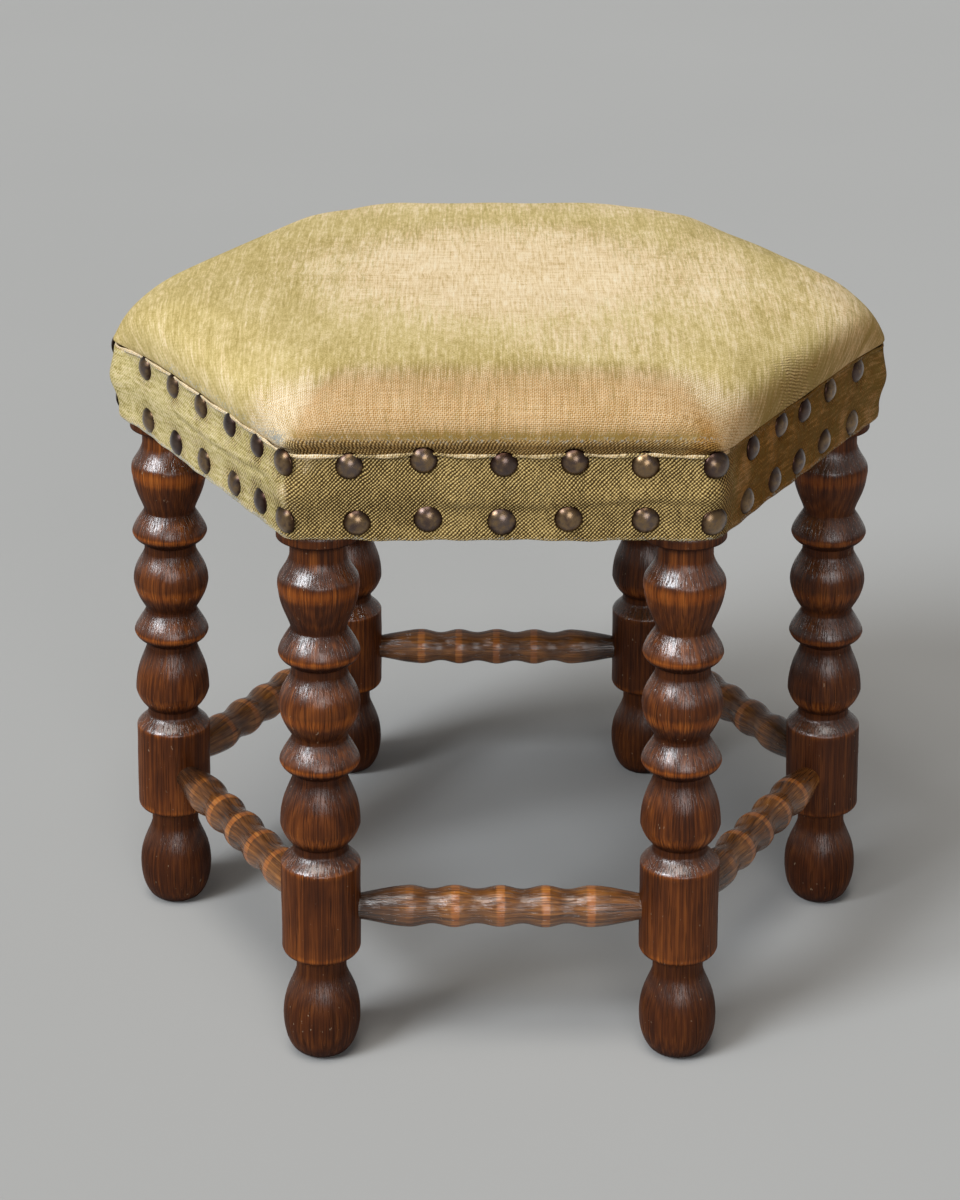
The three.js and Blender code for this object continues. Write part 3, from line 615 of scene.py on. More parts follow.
def velvetFinish(name, look):
    material, tree, shader = newFinish(name, look["roughness"], look["sheen"])
    shader.inputs["Sheen Roughness"].default_value = 0.5
    shader.inputs["Sheen Tint"].default_value = (1.0, 0.94, 0.74, 1)
    shader.inputs["Specular IOR Level"].default_value = 0.06
    place = reading(tree, "clothPlace", True)
    bare, ribbed, crisp = reading(tree, "bare"), reading(tree, "ribbed"), reading(tree, "crisp")
    toneWithPaintedShade, linted = reading(tree, "toneWithPaintedShade"), reading(tree, "linted")
    wander = put(tree, "ShaderNodeTexNoise", {"Vector": stretched(tree, place, (170, 170, 170)),
                                              "Scale": 1.0, "Detail": 2.0}).outputs["Color"]
    shift = put(tree, "ShaderNodeVectorMath", {0: wander, 1: (0.5, 0.5, 0.5)}, operation="SUBTRACT").outputs[0]
    laid = put(tree, "ShaderNodeVectorMath", {0: stretched(tree, shift, (0.0016,) * 3), 1: place},
               operation="ADD").outputs[0]
    cell = math.pi / (look["threadPitch"] * mm)
    parts = put(tree, "ShaderNodeSeparateXYZ", {0: stretched(tree, laid, (cell, cell, cell))}).outputs
    rising = sums(tree, "COSINE", sums(tree, "SUBTRACT", parts[0], parts[1]))
    falling = sums(tree, "COSINE", sums(tree, "ADD", parts[0], parts[1]))
    slantClouds = grain(tree, place, (30, 30, 30), 1, 0.5)
    slant = fitted(tree, slantClouds, 0.40, 0.58, look["slantLow"], look["slantHigh"])
    ribs = sums(tree, "MULTIPLY_ADD", sums(tree, "SUBTRACT", rising, falling), slant, falling)
    cuts = sums(tree, "SUBTRACT", sums(tree, "ADD", rising, falling), ribs)
    # a rib is cut into dashes by the threads that cross it
    ribs = sums(tree, "MULTIPLY_ADD", ribs, 0.5, 0.5)
    cuts = sums(tree, "MULTIPLY_ADD", cuts, look["cut"] / 2, 1 - look["cut"] / 2)
    weave = sums(tree, "MULTIPLY", ribs, cuts)
    plainWeave = sums(tree, "MULTIPLY_ADD", sums(tree, "MULTIPLY", rising, falling), 0.35, 0.28)
    plainWeave = sums(tree, "MULTIPLY_ADD", weave, 0.6, plainWeave)
    yarns = grain(tree, place, (900, 50, 60), 1, 0.5)
    picks = grain(tree, place, (50, 900, 60), 1, 0.5)
    streaks = grain(tree, place, look["streakScales"], 3, 0.6)
    hairlines = grain(tree, place, look["lineScales"], 3, 0.6)
    fuzz = grain(tree, place, (1300, 700, 900), 3, 0.65)
    mottle = grain(tree, place, (360, 150, 260), 3, 0.6)
    clouds = grain(tree, place, (26, 20, 26), 3, 0.55)
    # pile that is left
    pileTone = sums(tree, "MULTIPLY", sums(tree, "SUBTRACT", clouds, 0.5), 0.2)
    for layer, share in ((mottle, look["mottleShare"]), (streaks, 0.16), (hairlines, look["lineShare"]),
                         (fuzz, look["fuzzShare"])):
        pileTone = sums(tree, "MULTIPLY_ADD", sums(tree, "SUBTRACT", layer, 0.5), share, pileTone)
    pileTone = sums(tree, "MULTIPLY_ADD", sums(tree, "SUBTRACT", weave, 0.3), look["pileWeave"], pileTone)
    pileTone = sums(tree, "MULTIPLY_ADD", toneWithPaintedShade, 0.3, sums(tree, "ADD", pileTone, 0.5))
    pile = graded(tree, pileTone, look["pileTones"])
    # ground weave where the pile is gone
    groundTone = sums(tree, "SUBTRACT", plainWeave, 0.5)
    groundTone = sums(tree, "MULTIPLY_ADD", groundTone, sums(tree, "MULTIPLY", crisp, 1.05), 0.5)
    for layer, share in ((yarns, 0.55), (picks, 0.45), (mottle, 0.4), (clouds, 0.3), (fuzz, 0.35)):
        groundTone = sums(tree, "MULTIPLY_ADD", sums(tree, "SUBTRACT", layer, 0.5), share, groundTone)
    ground = graded(tree, groundTone, look["groundTones"])
    bareShare = bare
    for layer, share in ((streaks, 1.1), (hairlines, 1.5), (mottle, 0.5), (fuzz, 0.6)):
        bareShare = sums(tree, "MULTIPLY_ADD", sums(tree, "SUBTRACT", layer, 0.5), share, bareShare)
    bareShare = fitted(tree, bareShare, 0.0, 1.0)
    colour = blended(tree, bareShare, pile, ground)
    # dark open weave
    ribTone = sums(tree, "MULTIPLY_ADD", sums(tree, "SUBTRACT", fuzz, 0.5), 0.7, weave)
    ribTone = sums(tree, "MULTIPLY_ADD", sums(tree, "SUBTRACT", mottle, 0.5), 0.6, ribTone)
    ribTone = sums(tree, "MULTIPLY_ADD", sums(tree, "SUBTRACT", clouds, 0.5), 0.5, ribTone)
    ribColour = graded(tree, ribTone, look["ribTones"])
    ribShare = sums(tree, "MULTIPLY_ADD", sums(tree, "SUBTRACT", mottle, 0.5), 1.2, ribbed)
    ribShare = sums(tree, "MULTIPLY_ADD", sums(tree, "SUBTRACT", fuzz, 0.5), 0.7, ribShare)
    ribShare = fitted(tree, ribShare, 0.2, 0.75)
    colour = blended(tree, ribShare, colour, ribColour)
    # browning toward a darker brown, which also paints the shade on the right side of the seat
    brownedAndShaded = sums(tree, "SUBTRACT", 0.0, toneWithPaintedShade)
    brownedAndShaded = fitted(tree, sums(tree, "MULTIPLY_ADD", sums(tree, "SUBTRACT", mottle, 0.5), 0.5, brownedAndShaded), 0.0, 1.0)
    colour = blended(tree, brownedAndShaded, colour, blended(tree, 1.0, colour, look["brownAndShadeColour"], "MULTIPLY"))
    specks = grain(tree, place, (420, 420, 420), 3, 0.7)
    lint = sums(tree, "MULTIPLY", fitted(tree, specks, 0.69, 0.75), look["lintShare"])
    frayed = sums(tree, "MULTIPLY", specks, 0.55)
    frayed = sums(tree, "MULTIPLY_ADD", linted, 0.25, sums(tree, "MULTIPLY_ADD", fuzz, 0.8, frayed))
    frayed = sums(tree, "MULTIPLY", fitted(tree, frayed, 0.85, 0.97), linted)
    colour = blended(tree, sums(tree, "MAXIMUM", lint, frayed), colour, look["lintColour"])
    wired(tree, shader, "Base Color", colour)
    pileRelief = sums(tree, "MULTIPLY_ADD", mottle, 0.8, sums(tree, "MULTIPLY", fuzz, 0.8))
    pileRelief = sums(tree, "MULTIPLY_ADD", streaks, 0.6, pileRelief)
    relief = sums(tree, "MULTIPLY_ADD", sums(tree, "MULTIPLY", plainWeave, crisp), bareShare, pileRelief)
    relief = sums(tree, "MULTIPLY_ADD", sums(tree, "MULTIPLY", weave, 1.5), ribShare, relief)
    wired(tree, shader, "Normal", raised(tree, relief, look["reliefDepth"] * mm))
    rough = sums(tree, "MULTIPLY_ADD", mottle, 0.2, look["roughness"] - 0.1)
    wired(tree, shader, "Roughness", rough)
    return material


coverLook = {
    "roughness": 0.9, "sheen": 0.05, "threadPitch": 0.95, "slantLow": 0.74, "slantHigh": 1.0, "cut": 0.6,
    "streakScales": (150, 11, 60), "lineScales": (850, 45, 60), "lintShare": 0.25, "reliefDepth": 0.26,
    "pileWeave": 0.08, "mottleShare": 0.30, "fuzzShare": 0.40, "lineShare": 0.32,
    "lintColour": (0.43, 0.415, 0.36),
    "brownAndShadeColour": (0.66, 0.46, 0.25),
    "pileTones": [(0.36, (0.38, 0.280, 0.090)), (0.46, (0.52, 0.395, 0.145)),
                  (0.55, (0.66, 0.515, 0.225)), (0.68, (0.82, 0.67, 0.36))],
    "groundTones": [(0.18, (0.44, 0.275, 0.100)), (0.40, (0.77, 0.565, 0.305)),
                    (0.58, (0.93, 0.735, 0.475)), (0.82, (0.97, 0.85, 0.64))],
    "ribTones": [(0.08, (0.120, 0.076, 0.028)), (0.28, (0.34, 0.225, 0.085)),
                 (0.52, (0.74, 0.540, 0.225)), (0.88, (0.93, 0.76, 0.41))],
}
bandLook = {
    **coverLook, "sheen": 0.02, "streakScales": (60, 130, 60), "lineScales": (110, 620, 60), "pileWeave": 0.3,
    "mottleShare": 0.7, "fuzzShare": 0.9, "lineShare": 1.0, "brownAndShadeColour": (0.44, 0.225, 0.06),
    "pileTones": [(0.34, (0.29, 0.225, 0.070)), (0.48, (0.47, 0.375, 0.135)),
                  (0.60, (0.61, 0.500, 0.225)), (0.82, (0.78, 0.66, 0.36))],
    "ribTones": [(0.08, (0.044, 0.026, 0.009)), (0.28, (0.155, 0.097, 0.033)),
                 (0.52, (0.485, 0.325, 0.112)), (0.88, (0.86, 0.65, 0.28))],
}

cover = {
    "steps": 40, "startInset": 0.7, "frames": 20, "pressure": 4.0, "cap": 0.9, "mostInward": 0.25, "unevenness": 0.55,
    "pinchDepth": 1.6,
}


def inflated(piece, fixedPoints):
    before = pointsOf(piece)
    outward = np.zeros(len(before) * 3, np.float32)
    piece.data.vertex_normals.foreach_get("vector", outward)
    outward = outward.reshape(-1, 3).astype(float)
    group = piece.vertex_groups.new(name="held")
    group.add([int(i) for i in fixedPoints], 1.0, "REPLACE")
    cloth = piece.modifiers.new("stretch", "CLOTH")
    setup = cloth.settings
    setup.vertex_group_mass = "held"
    setup.quality = 6
    setup.mass = 0.2
    setup.tension_stiffness = setup.compression_stiffness = 22
    setup.shear_stiffness = 9
    setup.bending_stiffness = 0.6
    setup.use_pressure = True
    setup.uniform_pressure_force = cover["pressure"]
    setup.effector_weights.gravity = 0
    cloth.point_cache.frame_start, cloth.point_cache.frame_end = 1, cover["frames"]
    scene = bpy.context.scene
    for f in range(1, cover["frames"] + 1):
        scene.frame_set(f)
    settled(piece)
    scene.frame_set(1)
    after = pointsOf(piece)
    moved = after - before
    size = np.linalg.norm(moved, axis=1)
    cap = cover["cap"] * mm
    moved *= (cap * np.tanh(size / cap) / np.maximum(size, 1e-9))[:, None]
    # the padding holds the cloth up, so it sinks hardly at all
    sunk = np.minimum((moved * outward).sum(1) + cover["mostInward"] * mm, 0)
    moved -= outward * sunk[:, None]
    print("cover moved by at most", round(float(size.max()) / mm, 2), "mm, usually",
          round(float(np.median(size)) / mm, 2), "mm")
    piece.data.vertices.foreach_set("co", (before + moved).astype(np.float32).ravel())


def edgeDip(laps):
    return sum(corner[1] * bell(lapGap(laps, corner[0]), 24) for corner in seat["dippedCorners"])


def foldDrop(laps):
    fromFront = (laps - 4.5 + 3) % 6 - 3
    return np.interp(fromFront, seat["foldAt"], seat["foldDrop"]) + edgeDip(laps)


def lowered(points, laps):
    height = points[:, 2]
    lift = np.clip((height - widestHeight) / seat["crownRise"], 0, 1)
    least = bandTop - 2.9 + 0.15 * (height - bandTop)  # the tucked part stays in order behind the band
    sunk = np.maximum(height - foldDrop(laps) * (1 - lift), least)
    points[:, 2] = np.where(height > bandTop - 1, sunk, height)


def cornerBulge(laps):
    return sum(corner[2] * bell(lapGap(laps, corner[0]), 15) for corner in seat["dippedCorners"])


def coverWalls():
    apothem, rounding = seat["bandApothem"], seat["cornerRound"]
    groove = bandTop + seat["grooveHeight"]
    low = apothem - seat["grooveDepth"]
    walls = []
    for share in (0.3, 0.6, 0.85):
        bulge = seat["overhang"] + seat["grooveDepth"]
        walls.append((low + bulge * math.sqrt(1 - share ** 2), rounding, widestHeight - share * seat["turnHeight"]))
    walls += [(low, rounding, groove), (low - 0.2, rounding, bandTop + 2.4), (seat["coverApothem"], 11.6, bandTop + 0.6)]
    walls += [(seat["coverApothem"], 11.6, bandTop - 3), (seat["coverApothem"], 11.6, bandTop - seat["coverLap"])]
    return walls


def coverFields(points, laps):
    x, y, z = points.T
    around = np.hypot((x - 4) / 128, (y - 2) / 112)
    bare = 1.15 * (1 - eased(around, 0.2, 1.2))
    bare = np.maximum(bare, 0.72 * bell(np.hypot((x - 106) / 36, (y + 5) / 85), 1.0))
    bare = np.maximum(bare, 0.56 * bell(np.hypot((x - 40) / 55, (y + 98) / 46), 1.0))
    front = eased(-y, 122, 164) * (0.84 + 0.16 * eased(np.abs(x - 4), 45, 75))
    rightEdge = 0.7 * bell(np.hypot((x - 172) / 24, (y + 14) / 60), 1.0)
    edges = 0.2 * eased(np.hypot(x, y), 150, 185) + 0.38 * eased(y, 90, 130)
    bare = np.maximum.reduce([bare, front, rightEdge, edges, np.full(len(x), 0.12)])
    sideLap = np.abs((laps - 4.5 + 3) % 6 - 3)
    frontSide = eased(0.53 - sideLap, 0.0, 0.06)
    fold = bandTop + 6.4
    bare = bare - 0.8 * bell(z - fold - 2.4, 3.0) * frontSide
    ribbed = 1.25 * eased(fold + 2.6 - z, 0.0, 4.6) * frontSide
    shoulder = 0.5 * bell(np.hypot((x - 142) / 30, (y + 98) / 28), 1.0) * eased(359 - z, 0, 8)
    patch = 0.42 * bell(np.hypot((x - 86) / 16, (z - 346) / 7), 1.0) * (y < -100)
    ribbed = np.maximum.reduce([ribbed, shoulder, patch])
    crisp = np.clip(0.12 + eased(-y, 112, 160) * 0.9 + 0.3 * shoulder, 0, 1)
    # painted shade: the lower crown on the right side is browned and darkened as if shaded; the front strip is browner,
    # the middle and back lighter
    toRight = eased(0.866 * x - 0.5 * y, 150, 186) * (sideLap > 0.45) * (x > 0)
    toneWithPaintedShade = -0.8 * toRight * eased(358 - z, 0, 14) - 0.58 * eased(-y, 124, 158) * frontSide
    toneWithPaintedShade += 0.4 * bell(np.hypot((x - 4) / 95, (y + 66) / 46), 1.0) + 0.16 * eased(y, 80, 130)
    linted = 0.7 * bell(z - fold - 1.0, 3.6) * eased(0.62 - sideLap, 0, 0.1)
    linted += 0.8 * bell(z - bandTop - 4, 4.2) * eased(1.4 - sideLap, 0, 0.3) * (x < 0) * (sideLap > 0.5)
    return bare, ribbed, crisp, toneWithPaintedShade, linted


def makeCover():
    points, faces, shares, laps, rim = paddedSkin(cover["steps"], cover["startInset"], coverWalls(), False)
    walls = len(coverWalls())
    allLaps = np.concatenate([laps, *[laps[rim]] * walls])
    velvet = velvetFinish("TopVelvet", coverLook)
    piece = newPiece("velvet_cover", points * mm, faces, velvet, ["top_cover"])
    firstHeld = len(shares) + 3 * len(rim)
    inflated(piece, range(firstHeld, len(points)))
    points = pointsOf(piece) / mm
    run = np.concatenate([np.interp(shares * crownRun[-1], crownRun, crownRun), *[np.zeros(len(rim))] * walls])
    for w in range(walls):
        here = slice(len(shares) + w * len(rim), len(shares) + (w + 1) * len(rim))
        above = rim if w == 0 else np.arange(len(shares) + (w - 1) * len(rim), len(shares) + w * len(rim))
        run[here] = run[above] + np.linalg.norm(points[here] - points[above], axis=1)
    apothem = np.concatenate([np.interp(shares * crownRun[-1], crownRun, crownApothem),
                              *[np.full(len(rim), crownApothem[-1])] * walls])
    ratio = (run / np.maximum(apothem, 1e-3))[:, None]
    ratio[apothem < 1e-2] = 1.0
    flat = np.hstack([points[:, :2] * ratio * mm, np.zeros((len(points), 1))])
    keepValues(piece, "clothPlace", flat)
    # stuffing felt through the cloth, the pinch at the left corner and the pull of the upper nails
    radial = points[:, :2] / np.maximum(np.hypot(points[:, 0], points[:, 1]), 1)[:, None]
    lift = np.clip((points[:, 2] - widestHeight) / seat["crownRise"], 0, 1)
    bulging = 0.75 * (1 - lift) ** 2 * eased(points[:, 2], bandTop + 1, bandTop + 6)
    points[:, :2] += radial * (cornerBulge(allLaps) * bulging)[:, None]
    lowered(points, allLaps)
    free = np.concatenate([np.ones(len(shares)), *[np.full(len(rim), f) for f in (0.9, 0.7, 0.4, 0, 0, 0, 0, 0)]])
    lumps = bumpy(points * mm, 0.045, 3.0) * 1.1 + bumpy(points * mm, 0.018, 8.0) * 0.35
    points[:, 2] += lumps * cover["unevenness"] * free
    cornerGap = lapGap(allLaps, 3.04)
    height = points[:, 2]
    pinch = bell(cornerGap, 3.2) * bell(height - 343, 9) - 0.45 * bell(cornerGap - 7, 4) * bell(height - 344, 8)
    points[:, :2] -= radial * (pinch * cover["pinchDepth"] * free)[:, None]
    pull = np.zeros(len(points))
    for lap, level, side, row, atCorner in nails:
        if row == 0:
            pull += bell(lapGap(allLaps, lap), 9) * (0.5 if not atCorner else 0.2)
    points[:, :2] -= radial * ((pull - 0.3) * bell(height - 340, 5) * free * 0.8)[:, None]
    for corner in range(6):
        for offset in (-0.09, 0.08, 0.19, -0.17):
            gap = lapGap(allLaps, corner + offset + 0.02 * math.sin(corner * 5))
            points[:, :2] -= radial * (0.35 * bell(gap, 2.6) * bell(height - 345, 10) * free)[:, None]
    piece.data.vertices.foreach_set("co", (points * mm).astype(np.float32).ravel())
    for valueName, values in zip(("bare", "ribbed", "crisp", "toneWithPaintedShade", "linted"), coverFields(points, allLaps)):
        keepValues(piece, valueName, values)
    fine = piece.modifiers.new("fine", "SUBSURF")
    fine.levels = fine.render_levels = 1
    shell = piece.modifiers.new("shell", "SOLIDIFY")
    shell.thickness = seat["coverThickness"] * mm
    shell.offset = -1
    settled(piece)
    return piece


velvetCover = makeCover()
print("cover stretched")


# Side band

band = {
    "columns": 900, "rows": 36, "swell": 1.25, "dimple": 0.95, "dimpleWidth": 8.5, "fold": 0.95,
    "cornerSwell": 1.0,
    # side, where it starts and ends along it, height and depth
    "creases": [(4, -30, 96, 15.4, 0.75), (3, -22, 80, 21.6, 0.8), (0, -50, 60, 17.0, 0.4),
                (1, -60, 90, 20.0, 0.5), (2, -90, 50, 16.0, 0.5)],
    # round the seat from the right corner: how far the pile is worn off, and how light or brown it is, the right side
    # being darkened with painted shade
    "wornAt": [0, 1, 2, 3.0, 3.86, 3.985, 4.005, 4.99, 5.02, 5.12, 5.3, 6.0],
    "worn": [0.18, 0.16, 0.16, 0.14, 0.28, 0.38, 1.15, 1.15, 0.7, 0.25, 0.08, 0.18],
    "toneWithPaintedShade": [-0.7, -0.15, 0.15, 0.32, 0.4, 0.2, 0.0, -0.05, -0.5, -0.8, -0.85, -0.7],
}


def topEdge(laps):
    level = np.full(len(laps), seat["bandHeight"] - 0.25)
    for lap, height, side, row, atCorner in nails:
        if row == 0:
            level += bell(lapGap(laps, lap), 11) * (0.35 + (height - 37.1) * 0.45) * (not atCorner)
    return level + 0.35 * np.sin(laps * 9.3) * np.sin(laps * 4.1 + 1) - edgeDip(laps)


def bottomEdge(laps):
    return 0.45 * np.sin(laps * 21 + 0.6) * np.sin(laps * 5.7) + 0.22 * np.sin(laps * 61)


def bandFace(laps, height):
    out = band["swell"] * bell(height - 23.5, 8.5) + 0.35 * bell(height - 3.5, 2.5)
    out = out + 0.3 * bell(height - 33, 5) * np.sin(laps * 17)
    for lap, level, side, row, atCorner in nails:
        gap = lapGap(laps, lap)
        reach = np.hypot(gap, height - level)
        out = out - band["dimple"] * bell(reach, band["dimpleWidth"]) * (1 if not atCorner else 0.8)
    cornerLap = np.abs(laps - np.round(laps)) * perimeterPerLap
    out = out + band["cornerSwell"] * bell(cornerLap, 11) * (bell(height - 23, 8) + 0.35)
    out = out + cornerBulge(laps) * (0.5 + 0.6 * bell(height - 29, 17))
    for side, start, end, level, depth in band["creases"]:
        along = (laps - side - 0.5) * perimeterPerLap
        onSide = eased(along, start - 12, start + 8) * (1 - eased(along, end - 8, end + 12))
        line = level + 1.1 * np.sin(along / 17 + side) + 0.02 * (along - start)
        out = out + onSide * depth * (eased(height - line, -0.5, 3.0) * bell(height - line - 3, 5)
                                      - 0.55 * bell(height - line, 1.2))
    return out


def makeBand():
    laps = np.arange(band["columns"]) * 6 / band["columns"]
    rows = band["rows"]
    high, low = topEdge(laps), bottomEdge(laps)
    rings, levels, offsets = [], [], []
    for i in range(rows + 1):  # the face, from the bottom up
        share = i / rows
        height = 1.0 + (seat["bandHeight"] - 2.6) * share
        level = low + 0.9 + (high - low - 2.4) * share
        rings.append(bandFace(laps, height))
        levels.append(level)
        offsets.append(height)
    foldArc = np.linspace(-0.35 * math.pi, 0.9 * math.pi, 8)
    swollen = band["fold"] * (1 + 0.18 * np.sin(laps * 33) + 0.15 * np.sin(laps * 71 + 2))
    for a in foldArc:  # rolled upper edge
        rings.append(rings[rows] * 0.6 + swollen * (0.15 + math.cos(a)) * 0.75)
        levels.append(high - 0.9 + swollen * math.sin(a))
        offsets.append(seat["bandHeight"] - 1 + math.sin(a))
    inner = seat["bandInner"] - seat["bandApothem"]
    for share in (0.98, 0.5, 0.0):
        rings.append(np.full(len(laps), inner))
        levels.append(low + 0.4 + (high - low - 1.2) * share)
        offsets.append(-3.0 + share)
    lowArc = np.linspace(-0.8 * math.pi, -0.1 * math.pi, 5)
    for a in lowArc:  # turned lower edge
        rings.append(rings[0] * 0.5 + 0.55 * (0.1 + math.cos(a)))
        levels.append(low + 0.6 + 0.6 * math.sin(a))
        offsets.append(math.sin(a))
    points, place, faces = [], [], []
    count = len(laps)
    for ring, level, offset in zip(rings, levels, offsets):
        x, y, angle = hexPlace(np.full(count, seat["bandApothem"]), np.full(count, seat["cornerRound"]), laps)
        points.append(np.stack([x + ring * np.cos(angle), y + ring * np.sin(angle), seat["bandBottom"] + level], -1))
        place.append(np.stack([laps * perimeterPerLap, np.full(count, offset), np.zeros(count)], -1))
    total = len(rings)
    for i in range(total):
        k = (i + 1) % total
        for j in range(count):
            n = (j + 1) % count
            faces.append((i * count + j, i * count + n, k * count + n, k * count + j))
    points, place = np.vstack(points), np.vstack(place)
    velvet = velvetFinish("BandVelvet", bandLook)
    piece = newPiece("velvet_band", points * mm, faces, velvet, ["side_band"])
    keepValues(piece, "clothPlace", place * mm)
    allLaps, height = np.tile(laps, total), place[:, 1]
    gap = np.full(len(points), 60.0)
    for lap, level, side, row, atCorner in nails:
        gap = np.minimum(gap, np.hypot(lapGap(allLaps, lap), height - level))
    sideOf = allLaps % 6
    worn = np.interp(sideOf, band["wornAt"], band["worn"])
    toneWithPaintedShade = np.interp(sideOf, band["wornAt"], band["toneWithPaintedShade"])
    ribbed = worn + 0.42 * bell(gap, 9.5)
    ridge = eased(height, 41.0, 41.8) * (height < 60)
    toRight = eased(sideOf, 5.02, 5.06) * (1 - eased(sideOf, 5.97, 6.0))
    tan = eased(bumpy(points * mm, 0.024, 5.0), 0.12, 0.45) * eased(sideOf, 3.98, 4.02)
    bare = 0.1 + 0.5 * bell(lapGap(allLaps, 4.02), 9) + 0.9 * ridge * (1 - toRight) + 0.35 * tan
    ribbed = ribbed - 0.4 * tan
    bare = bare + 0.35 * bell(height - 1, 1.6) + 0.25 * bell(lapGap(allLaps, 5.03), 12)
    linted = 0.85 * bell(height - 0.3, 1.4) + 0.45 * bell(height - 41, 2.4) + 0.18 * bell(gap - 7, 2.5)
    linted = linted + 0.3 * eased(4.0 - sideOf, 0, 0.1) * eased(sideOf, 2.9, 3.1)
    ribbed = ribbed - 0.75 * eased(height, 40.6, 41.6) * (1 - toRight) - 0.35 * bell(lapGap(allLaps, 4.02), 7)
    keepValues(piece, "bare", bare)
    keepValues(piece, "ribbed", ribbed)
    keepValues(piece, "crisp", np.full(len(points), 0.8))
    keepValues(piece, "toneWithPaintedShade", toneWithPaintedShade)
    keepValues(piece, "linted", linted)
    return piece


velvetBand = makeBand()
print("band laid")


# Nails

def bronzeFinish():
    material, tree, shader = newFinish("NailBronze", 0.34)
    place = reading(tree, "nailPlace", True)
    rim, kind = reading(tree, "rim"), reading(tree, "kind")
    cloudy = grain(tree, place, (240, 240, 240), 3, 0.6)
    speck = grain(tree, place, (1100, 1100, 1100), 2, 0.6)
    body = graded(tree, sums(tree, "MULTIPLY_ADD", kind, 0.4, sums(tree, "MULTIPLY", cloudy, 0.8)),
                  [(0.3, (0.052, 0.025, 0.018)), (0.5, (0.092, 0.047, 0.028)), (0.68, (0.24, 0.140, 0.052)),
                   (0.85, (0.12, 0.078, 0.060))])
    # the crown is rubbed brighter, the skirt keeps its dark brown
    skirt = fitted(tree, sums(tree, "MULTIPLY_ADD", sums(tree, "SUBTRACT", cloudy, 0.5), 0.5, rim), 0.55, 0.98)
    body = blended(tree, sums(tree, "MULTIPLY", skirt, 0.88), body, (0.026, 0.0105, 0.008))
    dirt = fitted(tree, sums(tree, "MULTIPLY_ADD", speck, 0.2, rim), 1.06, 1.2)
    body = blended(tree, dirt, body, (0.018, 0.012, 0.010))
    wired(tree, shader, "Base Color", body)
    shader.inputs["Metallic"].default_value = 1.0
    wired(tree, shader, "Coat Weight", sums(tree, "MULTIPLY_ADD", skirt, -0.8, 0.85))
    shader.inputs["Coat Roughness"].default_value = 0.25
    shader.inputs["Coat IOR"].default_value = 1.6
    rough = sums(tree, "MULTIPLY_ADD", cloudy, 0.16, sums(tree, "MULTIPLY_ADD", dirt, 0.3, 0.22))
    wired(tree, shader, "Roughness", rough)
    relief = sums(tree, "MULTIPLY_ADD", speck, 0.35, cloudy)
    wired(tree, shader, "Normal", raised(tree, relief, 0.09 * mm))
    return material


def makeNails():
    bronze = bronzeFinish()
    chance = np.random.default_rng(21)
    steep = nail["rimSlope"]  # how steep the cap is at its rim, in radians
    arc = np.linspace(steep, 0, nail["rings"])
    flat = math.cos(steep)
    angles = np.arange(nail["facets"]) * 2 * math.pi / nail["facets"]
    sideLists = {side: [] for side in range(6)}
    for entry in nails:
        sideLists[entry[2]].append(entry)
    for side, entries in sideLists.items():
        points, place, rimValues, kinds, faces = [], [], [], [], []
        for lap, level, _, row, atCorner in entries:
            lapArray = np.array([lap % 6])
            out = bandFace(lapArray, np.array([level]))[0] + nail["proud"]
            x, y, angle = hexPlace(np.array([seat["bandApothem"]]), np.array([seat["cornerRound"]]), lapArray)
            radius = nail["upperRadius" if row == 0 else "lowerRadius"] * (1 + chance.uniform(-1, 1) * 0.025)
            rise = (nail["height"] + nail["sink"]) * (1 + chance.uniform(-1, 1) * 0.06)
            tilt = Matrix.Rotation(math.radians(chance.uniform(-1, 1) * nail["tiltDegrees"]), 3, "Y") \
                @ Matrix.Rotation(math.radians(chance.uniform(-1, 1) * nail["tiltDegrees"]), 3, "Z")
            turn = Matrix.Rotation(float(angle[0]), 3, "Z") @ tilt
            where = Vector((float(x[0]), float(y[0]), seat["bandBottom"] + level))
            where += Vector((math.cos(angle[0]), math.sin(angle[0]), 0)) * out
            kind, start = chance.uniform(0, 1), len(points)
            local = [Vector((-nail["sink"] - 0.5, 0, 0)), ]
            values = [1.0]
            for r, h, v in [(0.90, -0.55, 1.2), (0.985, -0.28, 1.15)] + [
                    (math.sin(a) / math.sin(steep), (math.cos(a) - flat) / (1 - flat) * rise,
                     math.sin(a) / math.sin(steep)) for a in arc[:-1]]:
                for a in angles:
                    local.append(Vector((h - nail["sink"], radius * r * math.cos(a), radius * r * math.sin(a))))
                    values.append(v)
            local.append(Vector((rise - nail["sink"], 0, 0)))
            values.append(0.0)
            rings = nail["rings"] + 1
            for p in local:
                points.append((where + turn @ p)[:])
                place.append((p * mm + Vector((0, 0, 0.05 * len(kinds) + side)))[:])
            rimValues += values
            kinds += [kind] * len(local)
            n = nail["facets"]
            for j in range(n):
                k = (j + 1) % n
                faces.append((start, start + 1 + k, start + 1 + j))
                for i in range(rings - 1):
                    a, b = start + 1 + i * n, start + 1 + (i + 1) * n
                    faces.append((a + j, a + k, b + k, b + j))
                last = start + 1 + (rings - 1) * n
                faces.append((last + j, last + k, start + len(local) - 1))
        piece = newPiece(f"nails_{sideNames[side]}", np.array(points) * mm, faces, bronze,
                         ["side_band"])
        keepValues(piece, "nailPlace", place)
        keepValues(piece, "rim", rimValues)
        keepValues(piece, "kind", kinds)


makeNails()
print("nails driven")


# Padding and webbing under the cover

